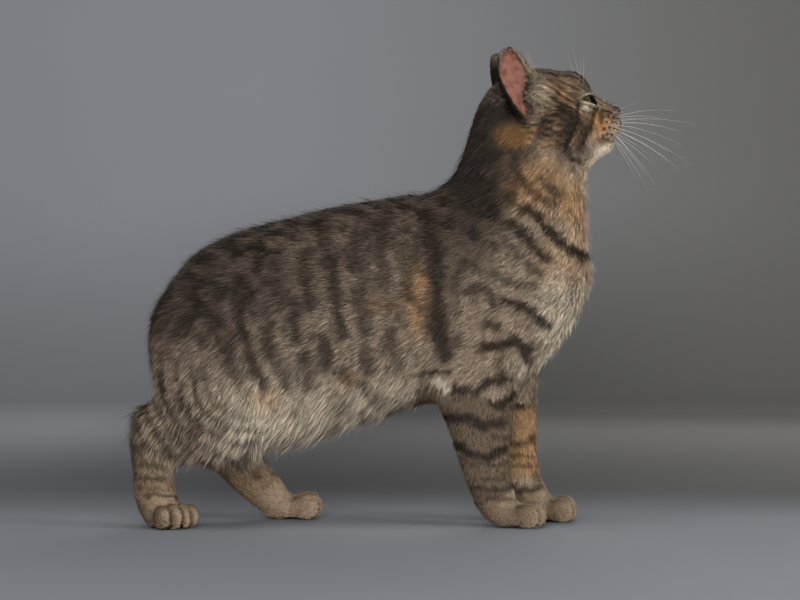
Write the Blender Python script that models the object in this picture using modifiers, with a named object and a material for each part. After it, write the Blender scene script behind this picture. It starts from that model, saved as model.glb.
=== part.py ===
"""A tailless short-haired tabby cat, life size, standing and looking up.

The whole animal is blended from lofts and ellipsoids into one skin, which is then
parted with thin cuts into the pieces that a person would name. +X is forward,
+Y is the cat's left and +Z is up. The soles rest on Z = 0.
"""

import math

import bmesh
import bpy
from mathutils import Matrix, Vector

MM = 0.001

# Overall sizes, in millimetres
EYE_POINT = Vector((136.5, 0.0, 331.0))  # midway between the eyes
HEAD_PITCH = 9.0  # degrees, nose up
PARTING = 0.3  # the gap between neighbouring pieces
SLAB_REACH = 120.0  # how far the parting plates reach to each side
ORIGIN = Vector((-2.5, 0.0, 0.0))  # the point of the floor under the middle of the whole
BODY_VOXEL, BODY_ROUNDS = 4.0, 12
HEAD_VOXEL, HEAD_ROUNDS, PAW_ROUNDS = 1.6, 10, 3
SKIN_VOXEL, SKIN_ROUNDS = 1.9, 4
SKIN_TRIANGLES = 6600

# The trunk, from rump to chest: station x, top, bottom, half width
TRUNK = (
    (-206, 152, 130, 14),
    (-201, 168, 110, 31),
    (-190, 186, 90, 45),
    (-168, 212, 74, 54),
    (-136, 228, 66, 57),
    (-104, 237, 61, 58),
    (-73, 245, 67, 58),
    (-42, 251, 77, 56),
    (-11, 256, 86, 53),
    (20, 259, 95, 50),
    (51, 259, 100, 48),
    (83, 255, 111, 45),
    (108, 244, 133, 38),
    (126, 229, 159, 27),
    (137, 210, 184, 13),
)

# The neck: nape x and z, throat x and z, half width
NECK = (
    (10, 256, 126, 170, 46),
    (22, 264, 134, 200, 43.5),
    (31, 273, 135, 228, 40),
    (37, 285, 134, 248, 37.5),
    (41, 301, 134, 262, 36),
    (46, 317, 137, 273, 35.5),
    (53, 332, 139, 283, 35),
    (63, 343, 134, 292, 33),
    (76, 347, 122, 300, 26),
)

# The head's forms in its own frame, from EYE_POINT: forward, side, up, then the radii
# along the same three axes. A form with a side is made on both sides.
HEAD_FORMS = (
    ("cranium", (-44, 0, -1), (42, 36, 32)),
    ("forehead", (-17, 0, 5), (20, 27, 20)),
    ("brow", (-11, 14, 3), (12, 12, 9.5)),
    ("face", (-20, 0, -17), (24, 30, 24)),
    ("bridge_root", (-3, 0, -7), (14, 11, 12)),
    ("bridge", (8, 0, -13), (12, 8.5, 13)),
    ("nose_tip", (16.5, 0, -14), (7.3, 6.8, 6.8)),
    ("whisker_pad", (9, 8.5, -24), (13.5, 10.5, 11.5)),
    ("lip_corner", (-5, 13, -27), (14, 10.5, 10)),
    ("chin", (3, 0, -37), (12, 12, 8.5)),
    ("jaw", (-16, 0, -36), (22, 23, 17)),
    ("cheek", (-28, 20, -19), (25, 21, 22)),
    ("nape", (-60, 0, -16), (24, 32, 34)),
)
BROAD_FORMS = ("cranium", "forehead", "jaw", "cheek", "nape")

# The limbs. Stations: x, side, z, then the half thickness fore and aft and across.
# The side is positive outwards from the mid-plane, for the right and left limb alike.
FORE_RIGHT = (
    (38, 26, 190, 34, 18),
    (42, 31, 150, 37, 20),
    (45, 31, 118, 36, 20.5),
    (48, 30, 98, 31.5, 19.5),
    (51, 29, 77, 26, 17.5),
    (54, 29, 53, 21.5, 15.5),
    (58, 29, 35, 18, 15),
    (63, 30, 20, 17, 15.5),
    (70, 31, 11, 15, 14.5),
)
FORE_LEFT = (
    (50, 24, 190, 34, 18),
    (58, 26, 150, 38, 20),
    (65, 25, 118, 36, 20.5),
    (69, 23, 96, 29.5, 19.5),
    (73, 21, 73, 25, 17.5),
    (78, 20, 47, 21, 15.5),
    (85, 20, 29, 17.5, 15),
    (92, 20, 17, 16.5, 15.5),
    (98, 20, 10, 15, 14.5),
)
THIGH_RIGHT = (
    (-158, 26, 192, 20, 16),
    (-158, 31, 166, 41, 26),
    (-152, 35, 132, 50, 28),
    (-147, 37, 104, 50, 26),
    (-144, 39, 84, 40, 22),
    (-142, 40, 70, 26, 16),
)
SHANK_RIGHT = (
    (-118, 39, 82, 26, 20),
    (-140, 38, 79, 26, 20),
    (-165, 36, 76, 24, 18),
    (-187, 34, 75, 21, 15.5),
    (-202, 32, 78, 15, 12.5),
)
FOOT_RIGHT = (
    (-204, 32, 97, 10, 9),
    (-204, 32, 84, 15.5, 12.5),
    (-203, 32, 64, 16.5, 14),
    (-201, 32, 46, 16.5, 14.5),
    (-200, 33, 30, 16.5, 15),
    (-196, 35, 17, 17, 15.5),
    (-193, 38, 10, 15, 14.5),
)
THIGH_LEFT = (
    (-156, 26, 192, 20, 16),
    (-152, 31, 166, 41, 26),
    (-142, 35, 132, 49, 28),
    (-134, 37, 104, 45, 26),
    (-130, 39, 84, 38, 22),
    (-128, 40, 72, 24, 16),
)
SHANK_LEFT = (
    (-104, 40, 84, 26, 20),
    (-122, 40, 80, 26, 20),
    (-144, 41, 76, 23, 17),
    (-164, 42, 74, 18, 14),
    (-176, 42, 76, 13, 12),
)
FOOT_LEFT = (
    (-180, 42, 87, 9, 9),
    (-174, 42, 79, 14, 12),
    (-160, 42, 64, 17, 14),
    (-145, 43, 49, 17.5, 14.5),
    (-131, 44, 35, 17.5, 15),
    (-118, 45, 22, 16, 16),
    (-108, 45, 13, 14, 15),
)

# The paws: middle x and side, turn outwards in degrees, length, width, height
PAWS = {
    ("fore", "right"): (79, 33, 14, 45, 37, 24),
    ("fore", "left"): (106, 21, -6, 45, 37, 24),
    ("hind", "right"): (-189, 42, 48, 45, 35, 23),
    ("hind", "left"): (-98, 46, 4, 50, 35, 25),
}
TOES = 4
# As shares of a paw's length, width and height
PAW_BACK_PLACE, PAW_BACK_RADII = Vector((-0.14, 0.0, 0.40)), Vector((0.36, 0.43, 0.46))
TOE_REACH, TOE_REACH_MORE = 0.22, 0.10  # ahead of the paw's middle, and the inner toes' share more
TOE_LENGTH, TOE_WIDTH = 0.235, 0.62  # half the length, and half the width in toe widths
TOE_MIDDLE, TOE_HEIGHT, TOE_HEIGHT_MORE = 0.42, 0.46, 0.07
TOE_SPREAD, TOE_SPLAY = 1.02, 0.7  # degrees of splay for each mm from the paw's middle line

# The eyes, in the head's frame. The opening's half widths run to its outer and inner corner.
EYE_PLACE = Vector((-7.0, 18.0, -5.5))
EYE_RADIUS = 10.5
EYE_TURN = 34.0  # degrees outwards
EYE_LIFT = 10.0  # degrees upwards
LID_THICKNESS = 1.5
OPENING_OUTER, OPENING_INNER = 9.6, 11.6
OPENING_UP, OPENING_DOWN = 6.4, 3.8
OPENING_SLANT = 18.0  # degrees, the outer corner raised
OPENING_POWER = 1.35  # above 1, the corners are drawn out to points
OPENING_DEPTHS, OPENING_POINTS = (2.0, 22.0), 20  # from and to, ahead of the eye's middle

# The nose leather, in the head's frame: as wide as its radii at the top and pinched below
NOSE_PLACE = Vector((17.4, 0.0, -12.4))
NOSE_RADII = Vector((5.4, 6.7, 5.0))
NOSE_PINCH = 0.55
NOSTRIL_PLACE = Vector((21.6, 3.7, -13.2))
NOSTRIL_RADII = Vector((3.0, 1.7, 1.1))

# The mouth, in the head's frame. The lips' parting runs forward from the corner, higher in
# the middle and lowest under the pads, and the chin is parted from the throat behind it.
MOUTH_CORNER = Vector((-3.0, 0.0, -33.0))
MOUTH_FRONT = Vector((30.0, 0.0, -35.5))
CHIN_BACK = Vector((3.0, 0.0, -62.0))
MOUTH_ARCH = 2.2
MOUTH_WAVE = 9.0
MOUTH_FADE = 16.0  # the lips' wave dies out this far from the middle
MOUTH_REACH, MOUTH_COLUMNS = 50.0, 21
LIP_GAP = 0.6

# The ear's two margins from the notch to the tip, as x, side and z in the body's frame
EAR_OUTER = ((88, 34, 311), (76, 39, 324), (66, 39, 343), (66, 34, 360), (72, 28, 371))
EAR_INNER = ((94, 34, 311), (103, 31, 322), (99, 22, 340), (87, 17, 355), (75, 25.5, 370.5))
EAR_OPENS = Vector((0.74, 0.66, 0.12))  # the way that the left ear's cup faces
EAR_DEPTH = 13.0
EAR_FOOT_SHARE, EAR_SWELL_POWER, EAR_BOW_POWER = 0.22, 0.7, 0.8  # how the cup deepens and curves
EAR_THICKNESS = 1.6
EAR_COLUMNS = 8
EAR_SWEEP = {"right": 0.0, "left": 9.0}  # how far the tip is laid back
EAR_BOWL_PLACE = Vector((80, 36, 327))
EAR_BOWL_RADII = (9, 8, 13)

# Whiskers, on each pad: the root in the head's frame, then the way from root to tip in the
# body's frame, each as forward, outward and up
WHISKERS = (
    ((16, 11, -18), (44, 34, 3)),
    ((16, 12, -21), (60, 36, -5)),
    ((15, 13, -25), (57, 30, -31)),
    ((11, 15, -26), (44, 38, -28)),
    ((13, 12, -29), (32, 22, -42)),
    ((8, 16, -27), (33, 42, -24)),
    ((11, 15, -21), (30, 48, -3)),
    ((12, 13, -17), (18, 34, 8)),
    ((7, 16.5, -23), (14, 52, -11)),
)
WHISKER_RADIUS, WHISKER_SIDES = 0.32, 3
WHISKER_TAPER = ((0.0, 1.0), (0.4, 0.85), (0.75, 0.6), (1.0, 0.3))  # share of the length, of the radius
WHISKER_ROOT = 5.0  # how deep each is rooted
WHISKER_BEND = 0.10  # the droop at the tip, as a share of the length

# Where the body is parted: a point on the cut, the cut's normal and its half size.
# Normals lie in the upright plane that runs along the body, as x and z.
NECK_CUTS = (
    ("throat", (91, 296), (0.32, 0.95), 70),
    ("withers", (78, 234), (0.46, 0.89), 90),
)
TRUNK_CUTS = (
    ("ribs", (2, 170), (1, 0.1), 110),
    ("loin", (-90, 150), (1, 0.05), 110),
)
MUZZLE_CUT = ((146.4, 317.5), (0.97, -0.24), 22.5)
SHOULDER = (
    (4, -9), (4, 96), (8, 148), (22, 180), (48, 193), (76, 183),
    (92, 152), (96, 112), (93, 64), (140, 44), (140, -9),
)
THIGH = (
    (-240, -9), (-60, -9), (-60, 36), (-92, 62), (-103, 110),
    (-119, 150), (-145, 178), (-180, 176), (-212, 158), (-240, 148),
)
LEG_CUTS = {
    "foreleg": ((60, 104), (0.2, 1.0), 60),
    "forepaw_right": ((62, 25), (-0.5, 1.0), 28),
    "forepaw_left": ((88, 27), (-0.45, 1.0), 28),
    "hock_right": ((-203, 65), (0.5, 0.87), 27),
    "hock_left": ((-140, 47), (-0.17, 0.98), 36),
    "hindpaw_right": ((-198, 29), (-0.2, 1.0), 28),
    "hindpaw_left": ((-119, 26), (-0.72, 0.7), 21),
}
SHOULDER_WALL = {"right": 8.0, "left": -2.0}
SHOULDER_SHIFT = {"right": 0.0, "left": 12.0}  # the left foreleg stands further forward
THIGH_WALL = {"right": 8.0, "left": 8.0}

# Colours and roughness
LOOKS = {
    "coat": ((0.30, 0.23, 0.17), 0.85),
    "dark_coat": ((0.20, 0.155, 0.12), 0.85),
    "warm_coat": ((0.42, 0.31, 0.21), 0.85),
    "muzzle": ((0.50, 0.40, 0.29), 0.85),
    "chin": ((0.66, 0.60, 0.52), 0.85),
    "nose": ((0.20, 0.10, 0.08), 0.45),
    "eye": ((0.25, 0.28, 0.12), 0.1),
    "ear": ((0.40, 0.26, 0.20), 0.7),
}

LOOK_OF = {
    "head": "coat",
    "muzzle": "muzzle",
    "jaw": "chin",
    "nose": "nose",
    "eye": "eye",
    "ear": "ear",
    "belly": "warm_coat",
    "chest": "warm_coat",
    "rump": "dark_coat",
    "neck": "dark_coat",
    "forepaw": "muzzle",
    "hindpaw": "muzzle",
}


def clear_scene():
    """Removes every object of the scene."""
    for obj in list(bpy.data.objects):
        bpy.data.objects.remove(obj)


def new_collection(name):
    """A collection linked to the scene."""
    made = bpy.data.collections.new(name)
    bpy.context.scene.collection.children.link(made)
    return made


def finish_of(name):
    """The Principled material of that name, made once."""
    found = bpy.data.materials.get(name)
    if found:
        return found
    colour, roughness = LOOKS[name]
    made = bpy.data.materials.new(name)
    made.use_nodes = True
    shader = made.node_tree.nodes["Principled BSDF"]
    shader.inputs["Base Color"].default_value = (*colour, 1.0)
    shader.inputs["Roughness"].default_value = roughness
    shader.inputs["Metallic"].default_value = 0.0
    return made


def object_of(name, bm, collection):
    """An object that holds the bmesh, in metres."""
    mesh = bpy.data.meshes.new(name)
    bmesh.ops.scale(bm, vec=(MM, MM, MM), verts=bm.verts)
    bmesh.ops.recalc_face_normals(bm, faces=bm.faces)
    bm.to_mesh(mesh)
    bm.free()
    obj = bpy.data.objects.new(name, mesh)
    collection.objects.link(obj)
    return obj


def bake(obj):
    """Replaces the mesh by what its modifiers make of it."""
    graph = bpy.context.evaluated_depsgraph_get()
    mesh = bpy.data.meshes.new_from_object(obj.evaluated_get(graph))
    obj.modifiers.clear()
    obj.data = mesh


def smooth_path(points, steps):
    """Catmull-Rom curve through tuples of numbers, with that many steps to a span."""
    rows = [Vector(p) if len(p) <= 4 else tuple(p) for p in points]
    count = len(rows)
    size = len(points[0])
    made = []
    for i in range(count - 1):
        near = [rows[max(i - 1, 0)], rows[i], rows[i + 1], rows[min(i + 2, count - 1)]]
        for step in range(steps):
            t = step / steps
            weights = (
                -0.5 * t + t * t - 0.5 * t**3,
                1 - 2.5 * t * t + 1.5 * t**3,
                0.5 * t + 2 * t * t - 1.5 * t**3,
                -0.5 * t * t + 0.5 * t**3,
            )
            made.append(tuple(sum(w * p[k] for w, p in zip(weights, near)) for k in range(size)))
    made.append(tuple(rows[-1][k] for k in range(size)))
    return made


def bridge(bm, rings):
    """Faces between neighbouring rings of the same count, and a cap at each end."""
    count = len(rings[0])
    for low, high in zip(rings, rings[1:]):
        for i in range(count):
            j = (i + 1) % count
            bm.faces.new((low[i], low[j], high[j], high[i]))
    bm.faces.new(rings[0])
    bm.faces.new(rings[-1])


def oval(bm, centre, across, along, half_across, half_along, power=2.2, count=28):
    """A ring of vertices on a superellipse in the plane of two unit vectors."""
    ring = []
    for i in range(count):
        turn = 2 * math.pi * i / count
        c, s = math.cos(turn), math.sin(turn)
        a = math.copysign(abs(c) ** (2 / power), c) * half_across
        b = math.copysign(abs(s) ** (2 / power), s) * half_along
        ring.append(bm.verts.new(centre + across * a + along * b))
    return ring


def trunk(collection):
    """Upright ovals from the rump to the chest."""
    bm = bmesh.new()
    rings = []
    for x, top, bottom, half_width in smooth_path(TRUNK, 3):
        centre = Vector((x, 0, (top + bottom) / 2))
        half_height = (top - bottom) / 2
        rings.append(oval(bm, centre, Vector((0, 1, 0)), Vector((0, 0, 1)), half_width, half_height))
    bridge(bm, rings)
    return object_of("trunk", bm, collection)


def neck(collection):
    """Ovals that run from the nape to the throat."""
    bm = bmesh.new()
    rings = []
    for nape_x, nape_z, throat_x, throat_z, half_width in smooth_path(NECK, 3):
        nape, throat = Vector((nape_x, 0, nape_z)), Vector((throat_x, 0, throat_z))
        along = throat - nape
        middle, half_depth = (nape + throat) / 2, along.length / 2
        rings.append(oval(bm, middle, Vector((0, 1, 0)), along.normalized(), half_width, half_depth))
    bridge(bm, rings)
    return object_of("neck", bm, collection)


def limb(name, stations, side, collection):
    """A tube along the stations, whose rings stand square to its middle line."""
    bm = bmesh.new()
    rows = smooth_path(stations, 3)
    middles = [Vector((x, side * y, z)) for x, y, z, _, _ in rows]
    rings = []
    for i, (_, _, _, half_along, half_across) in enumerate(rows):
        tangent = middles[min(i + 1, len(rows) - 1)] - middles[max(i - 1, 0)]
        along = tangent.cross(Vector((0, 1, 0))).normalized()
        across = along.cross(tangent).normalized()
        rings.append(oval(bm, middles[i], across, along, half_across, half_along))
    bridge(bm, rings)
    return object_of(name, bm, collection)


def ellipsoid(name, matrix, radii, collection, rings=16):
    """A UV sphere stretched to three radii and placed by a matrix, in millimetres."""
    bm = bmesh.new()
    bmesh.ops.create_uvsphere(bm, u_segments=2 * rings, v_segments=rings, radius=1.0)
    bmesh.ops.transform(bm, matrix=matrix @ Matrix.Diagonal((*radii, 1.0)), verts=bm.verts)
    return object_of(name, bm, collection)


def head_matrix():
    """Head frame to body frame: nose along +X, pitched up about the eyes."""
    return Matrix.Translation(EYE_POINT) @ Matrix.Rotation(math.radians(-HEAD_PITCH), 4, "Y")


def sides_of(place):
    """The places on both sides of the mid-plane, or the one place on it."""
    x, y, z = place
    return [Vector((x, y, z)), Vector((x, -y, z))] if y else [Vector(place)]


def gaze_matrix(side):
    """Eye frame to body frame: +X looks out of the eye, +Y runs to the cat's left."""
    place = Vector((EYE_PLACE.x, side * EYE_PLACE.y, EYE_PLACE.z))
    turn = Matrix.Rotation(math.radians(side * EYE_TURN), 4, "Z")
    lift = Matrix.Rotation(math.radians(-EYE_LIFT), 4, "Y")
    return head_matrix() @ Matrix.Translation(place) @ turn @ lift


def head_forms(collection):
    """The blended forms of the skull, face and lids."""
    frame = head_matrix()
    made = []
    for name, place, radii in HEAD_FORMS:
        for spot in sides_of(place):
            made.append(ellipsoid(name, frame @ Matrix.Translation(spot), radii, collection))
    for side in (1, -1):
        lid = EYE_RADIUS + LID_THICKNESS
        made.append(ellipsoid("lid", gaze_matrix(side), (lid, lid, lid), collection))
    return made


def paw(where, collection):
    """A paw: the back of the foot and four rounded toes, running just below the floor."""
    side = 1 if where[1] == "left" else -1
    x, y, turn, length, width, height = PAWS[where]
    frame = Matrix.Translation((x, side * y, 0)) @ Matrix.Rotation(math.radians(side * turn), 4, "Z")
    size = Vector((length, width, height))
    back = Matrix.Translation(PAW_BACK_PLACE * size)
    made = [ellipsoid("paw_back", frame @ back, PAW_BACK_RADII * size, collection)]
    toe_width = width / TOES
    for i in range(TOES):
        across = (i - (TOES - 1) / 2) * toe_width
        inner = 1 - abs(i - (TOES - 1) / 2) / (TOES - 1) * 2
        reach = length * (TOE_REACH + TOE_REACH_MORE * inner)
        splay = Matrix.Rotation(math.radians(across * TOE_SPLAY), 4, "Z")
        place = Matrix.Translation((reach, across * TOE_SPREAD, TOE_MIDDLE * height)) @ splay
        half_height = (TOE_HEIGHT + TOE_HEIGHT_MORE * inner) * height
        radii = (TOE_LENGTH * length, TOE_WIDTH * toe_width, half_height)
        made.append(ellipsoid("toe", frame @ place, radii, collection))
    return made


def fuse(name, pieces, voxel, rounds, collection):
    """One closed skin round the pieces, on a voxel grid, relaxed so that they blend."""
    bm = bmesh.new()
    for piece in pieces:
        bm.from_mesh(piece.data)
    mesh = bpy.data.meshes.new(name)
    bm.to_mesh(mesh)
    bm.free()
    skin = bpy.data.objects.new(name, mesh)
    collection.objects.link(skin)
    remesh = skin.modifiers.new("Remesh", "REMESH")
    remesh.mode = "VOXEL"
    remesh.voxel_size = voxel * MM
    relax = skin.modifiers.new("Relax", "SMOOTH")
    relax.factor = 0.5
    relax.iterations = rounds
    bake(skin)
    return skin


def discard(pieces):
    """Removes objects that are used up."""
    for piece in pieces:
        bpy.data.objects.remove(piece)


def combine(target, tool, operation):
    """Applies one Boolean to the target. The exact solver drops parts of this skin."""
    boolean = target.modifiers.new("Boolean", "BOOLEAN")
    boolean.operation = operation
    boolean.solver = "MANIFOLD"
    if isinstance(tool, bpy.types.Collection):
        boolean.operand_type = "COLLECTION"
        boolean.collection = tool
    else:
        boolean.object = tool
    bake(target)


def as_cutter(obj):
    """Marks an object as a cutter."""
    obj.hide_render = True
    obj.display_type = "WIRE"
    return obj


def closed_parts(bm):
    """The bmesh's faces, grouped by the closed surface that they belong to."""
    left = set(bm.faces)
    groups = []
    while left:
        group, edge = [], [left.pop()]
        while edge:
            face = edge.pop()
            group.append(face)
            for side in face.edges:
                for other in side.link_faces:
                    if other in left:
                        left.remove(other)
                        edge.append(other)
        groups.append(group)
    return sorted(groups, key=len, reverse=True)


def keep_largest(obj):
    """Drops every closed surface but the one with the most faces."""
    bm = bmesh.new()
    bm.from_mesh(obj.data)
    for group in closed_parts(bm)[1:]:
        bmesh.ops.delete(bm, geom=group, context="FACES")
    bm.to_mesh(obj.data)
    bm.free()


def whole_skin(collection):
    """The trunk, neck, limbs, head and paws as one blended skin."""
    limbs = (
        ("foreleg", FORE_RIGHT, -1),
        ("foreleg", FORE_LEFT, 1),
        ("thigh", THIGH_RIGHT, -1),
        ("thigh", THIGH_LEFT, 1),
        ("shank", SHANK_RIGHT, -1),
        ("shank", SHANK_LEFT, 1),
        ("hind_foot", FOOT_RIGHT, -1),
        ("hind_foot", FOOT_LEFT, 1),
    )
    body = [trunk(collection), neck(collection)]
    body += [limb(name, stations, side, collection) for name, stations, side in limbs]
    face = head_forms(collection)
    broad = [form for form in face if form.name.split(".")[0] in BROAD_FORMS]
    toes = [piece for where in PAWS for piece in paw(where, collection)]
    body_skin = fuse("body_skin", body + broad, BODY_VOXEL, BODY_ROUNDS, collection)
    head_skin = fuse("head_skin", face, HEAD_VOXEL, HEAD_ROUNDS, collection)
    paw_skin = fuse("paw_skin", toes, HEAD_VOXEL, PAW_ROUNDS, collection)
    layers = [body_skin, head_skin, paw_skin]
    skin = fuse("skin", layers, SKIN_VOXEL, SKIN_ROUNDS, collection)
    discard(body + face + toes + layers)
    thin = skin.modifiers.new("Thin", "DECIMATE")
    thin.ratio = SKIN_TRIANGLES / sum(len(face.vertices) - 2 for face in skin.data.polygons)
    bake(skin)
    keep_largest(skin)
    return skin


def slab(name, place, normal, half, collection):
    """A thin plate across the whole body whose normal lies in the XZ plane, for parting."""
    bm = bmesh.new()
    bmesh.ops.create_cube(bm, size=1.0)
    x, z = normal
    turn = Matrix.Rotation(math.atan2(-z, x), 4, "Y")
    size = Matrix.Diagonal((PARTING, 2 * SLAB_REACH, 2 * half, 1.0))
    there = Matrix.Translation((place[0], 0, place[1]))
    bmesh.ops.transform(bm, matrix=there @ turn @ size, verts=bm.verts)
    return as_cutter(object_of(name, bm, collection))


def prism(name, outline, low, high, grow, collection):
    """The outline (x, z) drawn out from y low to y high, with its walls moved out by grow."""
    bm = bmesh.new()
    count = len(outline)
    area = sum(a[0] * b[1] - b[0] * a[1] for a, b in zip(outline, outline[1:] + outline[:1]))
    turn = 1.0 if area > 0 else -1.0
    moved = []
    for i in range(count):
        before, here, after = (Vector(outline[(i + k) % count]) for k in (-1, 0, 1))
        first, second = (here - before).normalized(), (after - here).normalized()
        out = Vector((first.y + second.y, -first.x - second.x)).normalized() * turn
        moved.append(here + out * grow / max(0.3, out.dot(Vector((first.y, -first.x)) * turn)))
    near = [bm.verts.new((p.x, low - grow, p.y)) for p in moved]
    far = [bm.verts.new((p.x, high + grow, p.y)) for p in moved]
    bridge(bm, [near, far])
    return as_cutter(object_of(name, bm, collection))


def copy_of(obj, name, collection):
    """A separate object with its own copy of the mesh."""
    made = bpy.data.objects.new(name, obj.data.copy())
    collection.objects.link(made)
    return made


def take_out(skin, name, outline, low, high, collection, cutters):
    """Parts the block within the outline from the skin, and returns it."""
    inner = prism(name + "_block", outline, low, high, 0.0, cutters)
    outer = prism(name + "_space", outline, low, high, PARTING, cutters)
    block = copy_of(skin, name, collection)
    combine(block, inner, "INTERSECT")
    combine(skin, outer, "DIFFERENCE")
    discard([inner, outer])
    return block


def split(obj, names, key, collection):
    """Makes an object of each closed surface, named in the order that key gives, low first."""
    bm = bmesh.new()
    bm.from_mesh(obj.data)
    groups = closed_parts(bm)[: len(names)]
    centres = []
    for group in groups:
        verts = {v for face in group for v in face.verts}
        centres.append(sum((v.co for v in verts), Vector()) / len(verts))
    order = sorted(range(len(groups)), key=lambda i: key(centres[i]))
    made = {}
    for name, index in zip(names, order):
        piece = bmesh.new()
        twin = {}
        for face in groups[index]:
            corners = []
            for vert in face.verts:
                if vert not in twin:
                    twin[vert] = piece.verts.new(vert.co)
                corners.append(twin[vert])
            piece.faces.new(corners)
        mesh = bpy.data.meshes.new(name)
        piece.to_mesh(mesh)
        piece.free()
        made[name] = bpy.data.objects.new(name, mesh)
        collection.objects.link(made[name])
    bm.free()
    bpy.data.objects.remove(obj)
    return made


def cut(obj, tools, operation="DIFFERENCE"):
    """Applies each tool to the object in turn, and removes the tools."""
    for tool in tools:
        combine(obj, tool, operation)
    discard(tools)


def parted(skin, collection, cutters):
    """The pieces of flesh by name: thin cuts through the one skin."""
    floor = prism("floor", ((-300, -20), (300, -20), (300, 0), (-300, 0)), -150, 150, 0.0, cutters)
    cut(skin, [floor])
    made = {}
    for side_name, side in (("right", -1), ("left", 1)):
        shoulder = tuple((x + SHOULDER_SHIFT[side_name], z) for x, z in SHOULDER)
        for limb_name, outline, wall in (
            ("shoulder", shoulder, SHOULDER_WALL[side_name]),
            ("thigh", THIGH, THIGH_WALL[side_name]),
        ):
            low, high = sorted((side * wall, side * 120.0))
            block = take_out(skin, limb_name + "_" + side_name, outline, low, high, collection, cutters)
            lower = ("forepaw", "foreleg") if limb_name == "shoulder" else ("hindpaw", "hock")
            tools = []
            for part_name in lower:
                full = part_name + "_" + side_name
                place, normal, half = LEG_CUTS.get(full) or LEG_CUTS[part_name]
                tools.append(slab(full + "_cut", place, normal, half, cutters))
            cut(block, tools)
            names = [part_name + "_" + side_name for part_name in (*lower, limb_name)]
            made.update(split(block, names, lambda centre: centre.z, collection))
    cut(skin, [slab(name, *rest, cutters) for name, *rest in (*NECK_CUTS, *TRUNK_CUTS)])
    names = ("rump", "belly", "chest", "neck", "head")
    made.update(split(skin, names, lambda centre: centre.x + 2 * max(centre.z - 0.2, 0), collection))
    return made


def grown(obj, name, distance, collection):
    """A copy of the object whose surface is moved out by the distance."""
    made = copy_of(obj, name, collection)
    bm = bmesh.new()
    bm.from_mesh(made.data)
    bmesh.ops.triangulate(bm, faces=bm.faces)
    bm.normal_update()
    for vert, normal in [(v, v.normal.copy()) for v in bm.verts]:
        vert.co += normal * distance * MM
    bm.to_mesh(made.data)
    bm.free()
    return as_cutter(made)


def eye(side, name, grow, collection):
    """The eyeball, as a sphere of named radius."""
    radius = EYE_RADIUS + grow
    return ellipsoid(name, gaze_matrix(side), (radius,) * 3, collection, rings=9)


def eye_opening(side, cutters):
    """An almond drawn out along the gaze: wide towards the inner corner, high above."""
    bm = bmesh.new()
    slant = Matrix.Rotation(math.radians(side * OPENING_SLANT), 4, "X")
    rings = []
    for depth in OPENING_DEPTHS:
        ring = []
        for i in range(OPENING_POINTS):
            turn = 2 * math.pi * i / OPENING_POINTS
            outward, upward = math.cos(turn), math.sin(turn)
            width = OPENING_OUTER if outward > 0 else OPENING_INNER
            height = OPENING_UP if upward > 0 else OPENING_DOWN
            lift = math.copysign(abs(upward) ** OPENING_POWER, upward) * height
            ring.append(bm.verts.new((depth, side * outward * width, lift)))
        rings.append(ring)
    bridge(bm, rings)
    bmesh.ops.transform(bm, matrix=gaze_matrix(side) @ slant, verts=bm.verts)
    return as_cutter(object_of("opening", bm, cutters))


def rounded(name, place, radii, collection, rings=10):
    """An ellipsoid at a place in the head's frame."""
    return ellipsoid(name, head_matrix() @ Matrix.Translation(place), radii, collection, rings)


def mouth_block(grow_up, grow_back, cutters):
    """What lies under the lips' wavy parting and in front of the slope behind the chin."""
    bm = bmesh.new()
    rings = []
    for i in range(MOUTH_COLUMNS):
        across = MOUTH_REACH * (2 * i / (MOUTH_COLUMNS - 1) - 1)
        fade = math.exp(-((across / MOUTH_FADE) ** 2))
        wave = MOUTH_ARCH * math.cos(math.pi * across / MOUTH_WAVE) * fade
        lift = Vector((0, across, wave + grow_up))
        behind = Vector((-grow_back, 0, 0))
        floor = Vector((MOUTH_FRONT.x, across, CHIN_BACK.z))
        below = CHIN_BACK + Vector((-grow_back, across, 0))
        ring = [MOUTH_CORNER + lift + behind, MOUTH_FRONT + lift, floor, below]
        rings.append([bm.verts.new(point) for point in ring])
    bridge(bm, rings)
    bmesh.ops.transform(bm, matrix=head_matrix(), verts=bm.verts)
    return as_cutter(object_of("mouth", bm, cutters))


def whiskers(muzzle, cutters):
    """Tapered three-sided hairs that bend down a little, rooted in both pads."""
    frame = head_matrix()
    tufts = new_collection("whiskers")
    for root, way in WHISKERS:
        for side in (1, -1):
            start = frame @ Vector((root[0], side * root[1], root[2]))
            ahead = Vector((way[0], side * way[1], way[2]))
            length = ahead.length
            ahead.normalize()
            across = ahead.cross(Vector((0, 0, 1))).normalized()
            upward = across.cross(ahead)
            bm = bmesh.new()
            rings = []
            for share, taper in WHISKER_TAPER:
                reach = share * length - WHISKER_ROOT * (1 - share)
                centre = start + ahead * reach - Vector((0, 0, WHISKER_BEND * length * share * share))
                radius = WHISKER_RADIUS * taper
                rings.append(oval(bm, centre, across, upward, radius, radius, 2.0, WHISKER_SIDES))
            bridge(bm, rings)
            as_cutter(object_of("whisker", bm, tufts))
    combine(muzzle, tufts, "UNION")
    discard(list(tufts.objects))
    bpy.data.collections.remove(tufts)
    keep_largest(muzzle)


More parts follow.
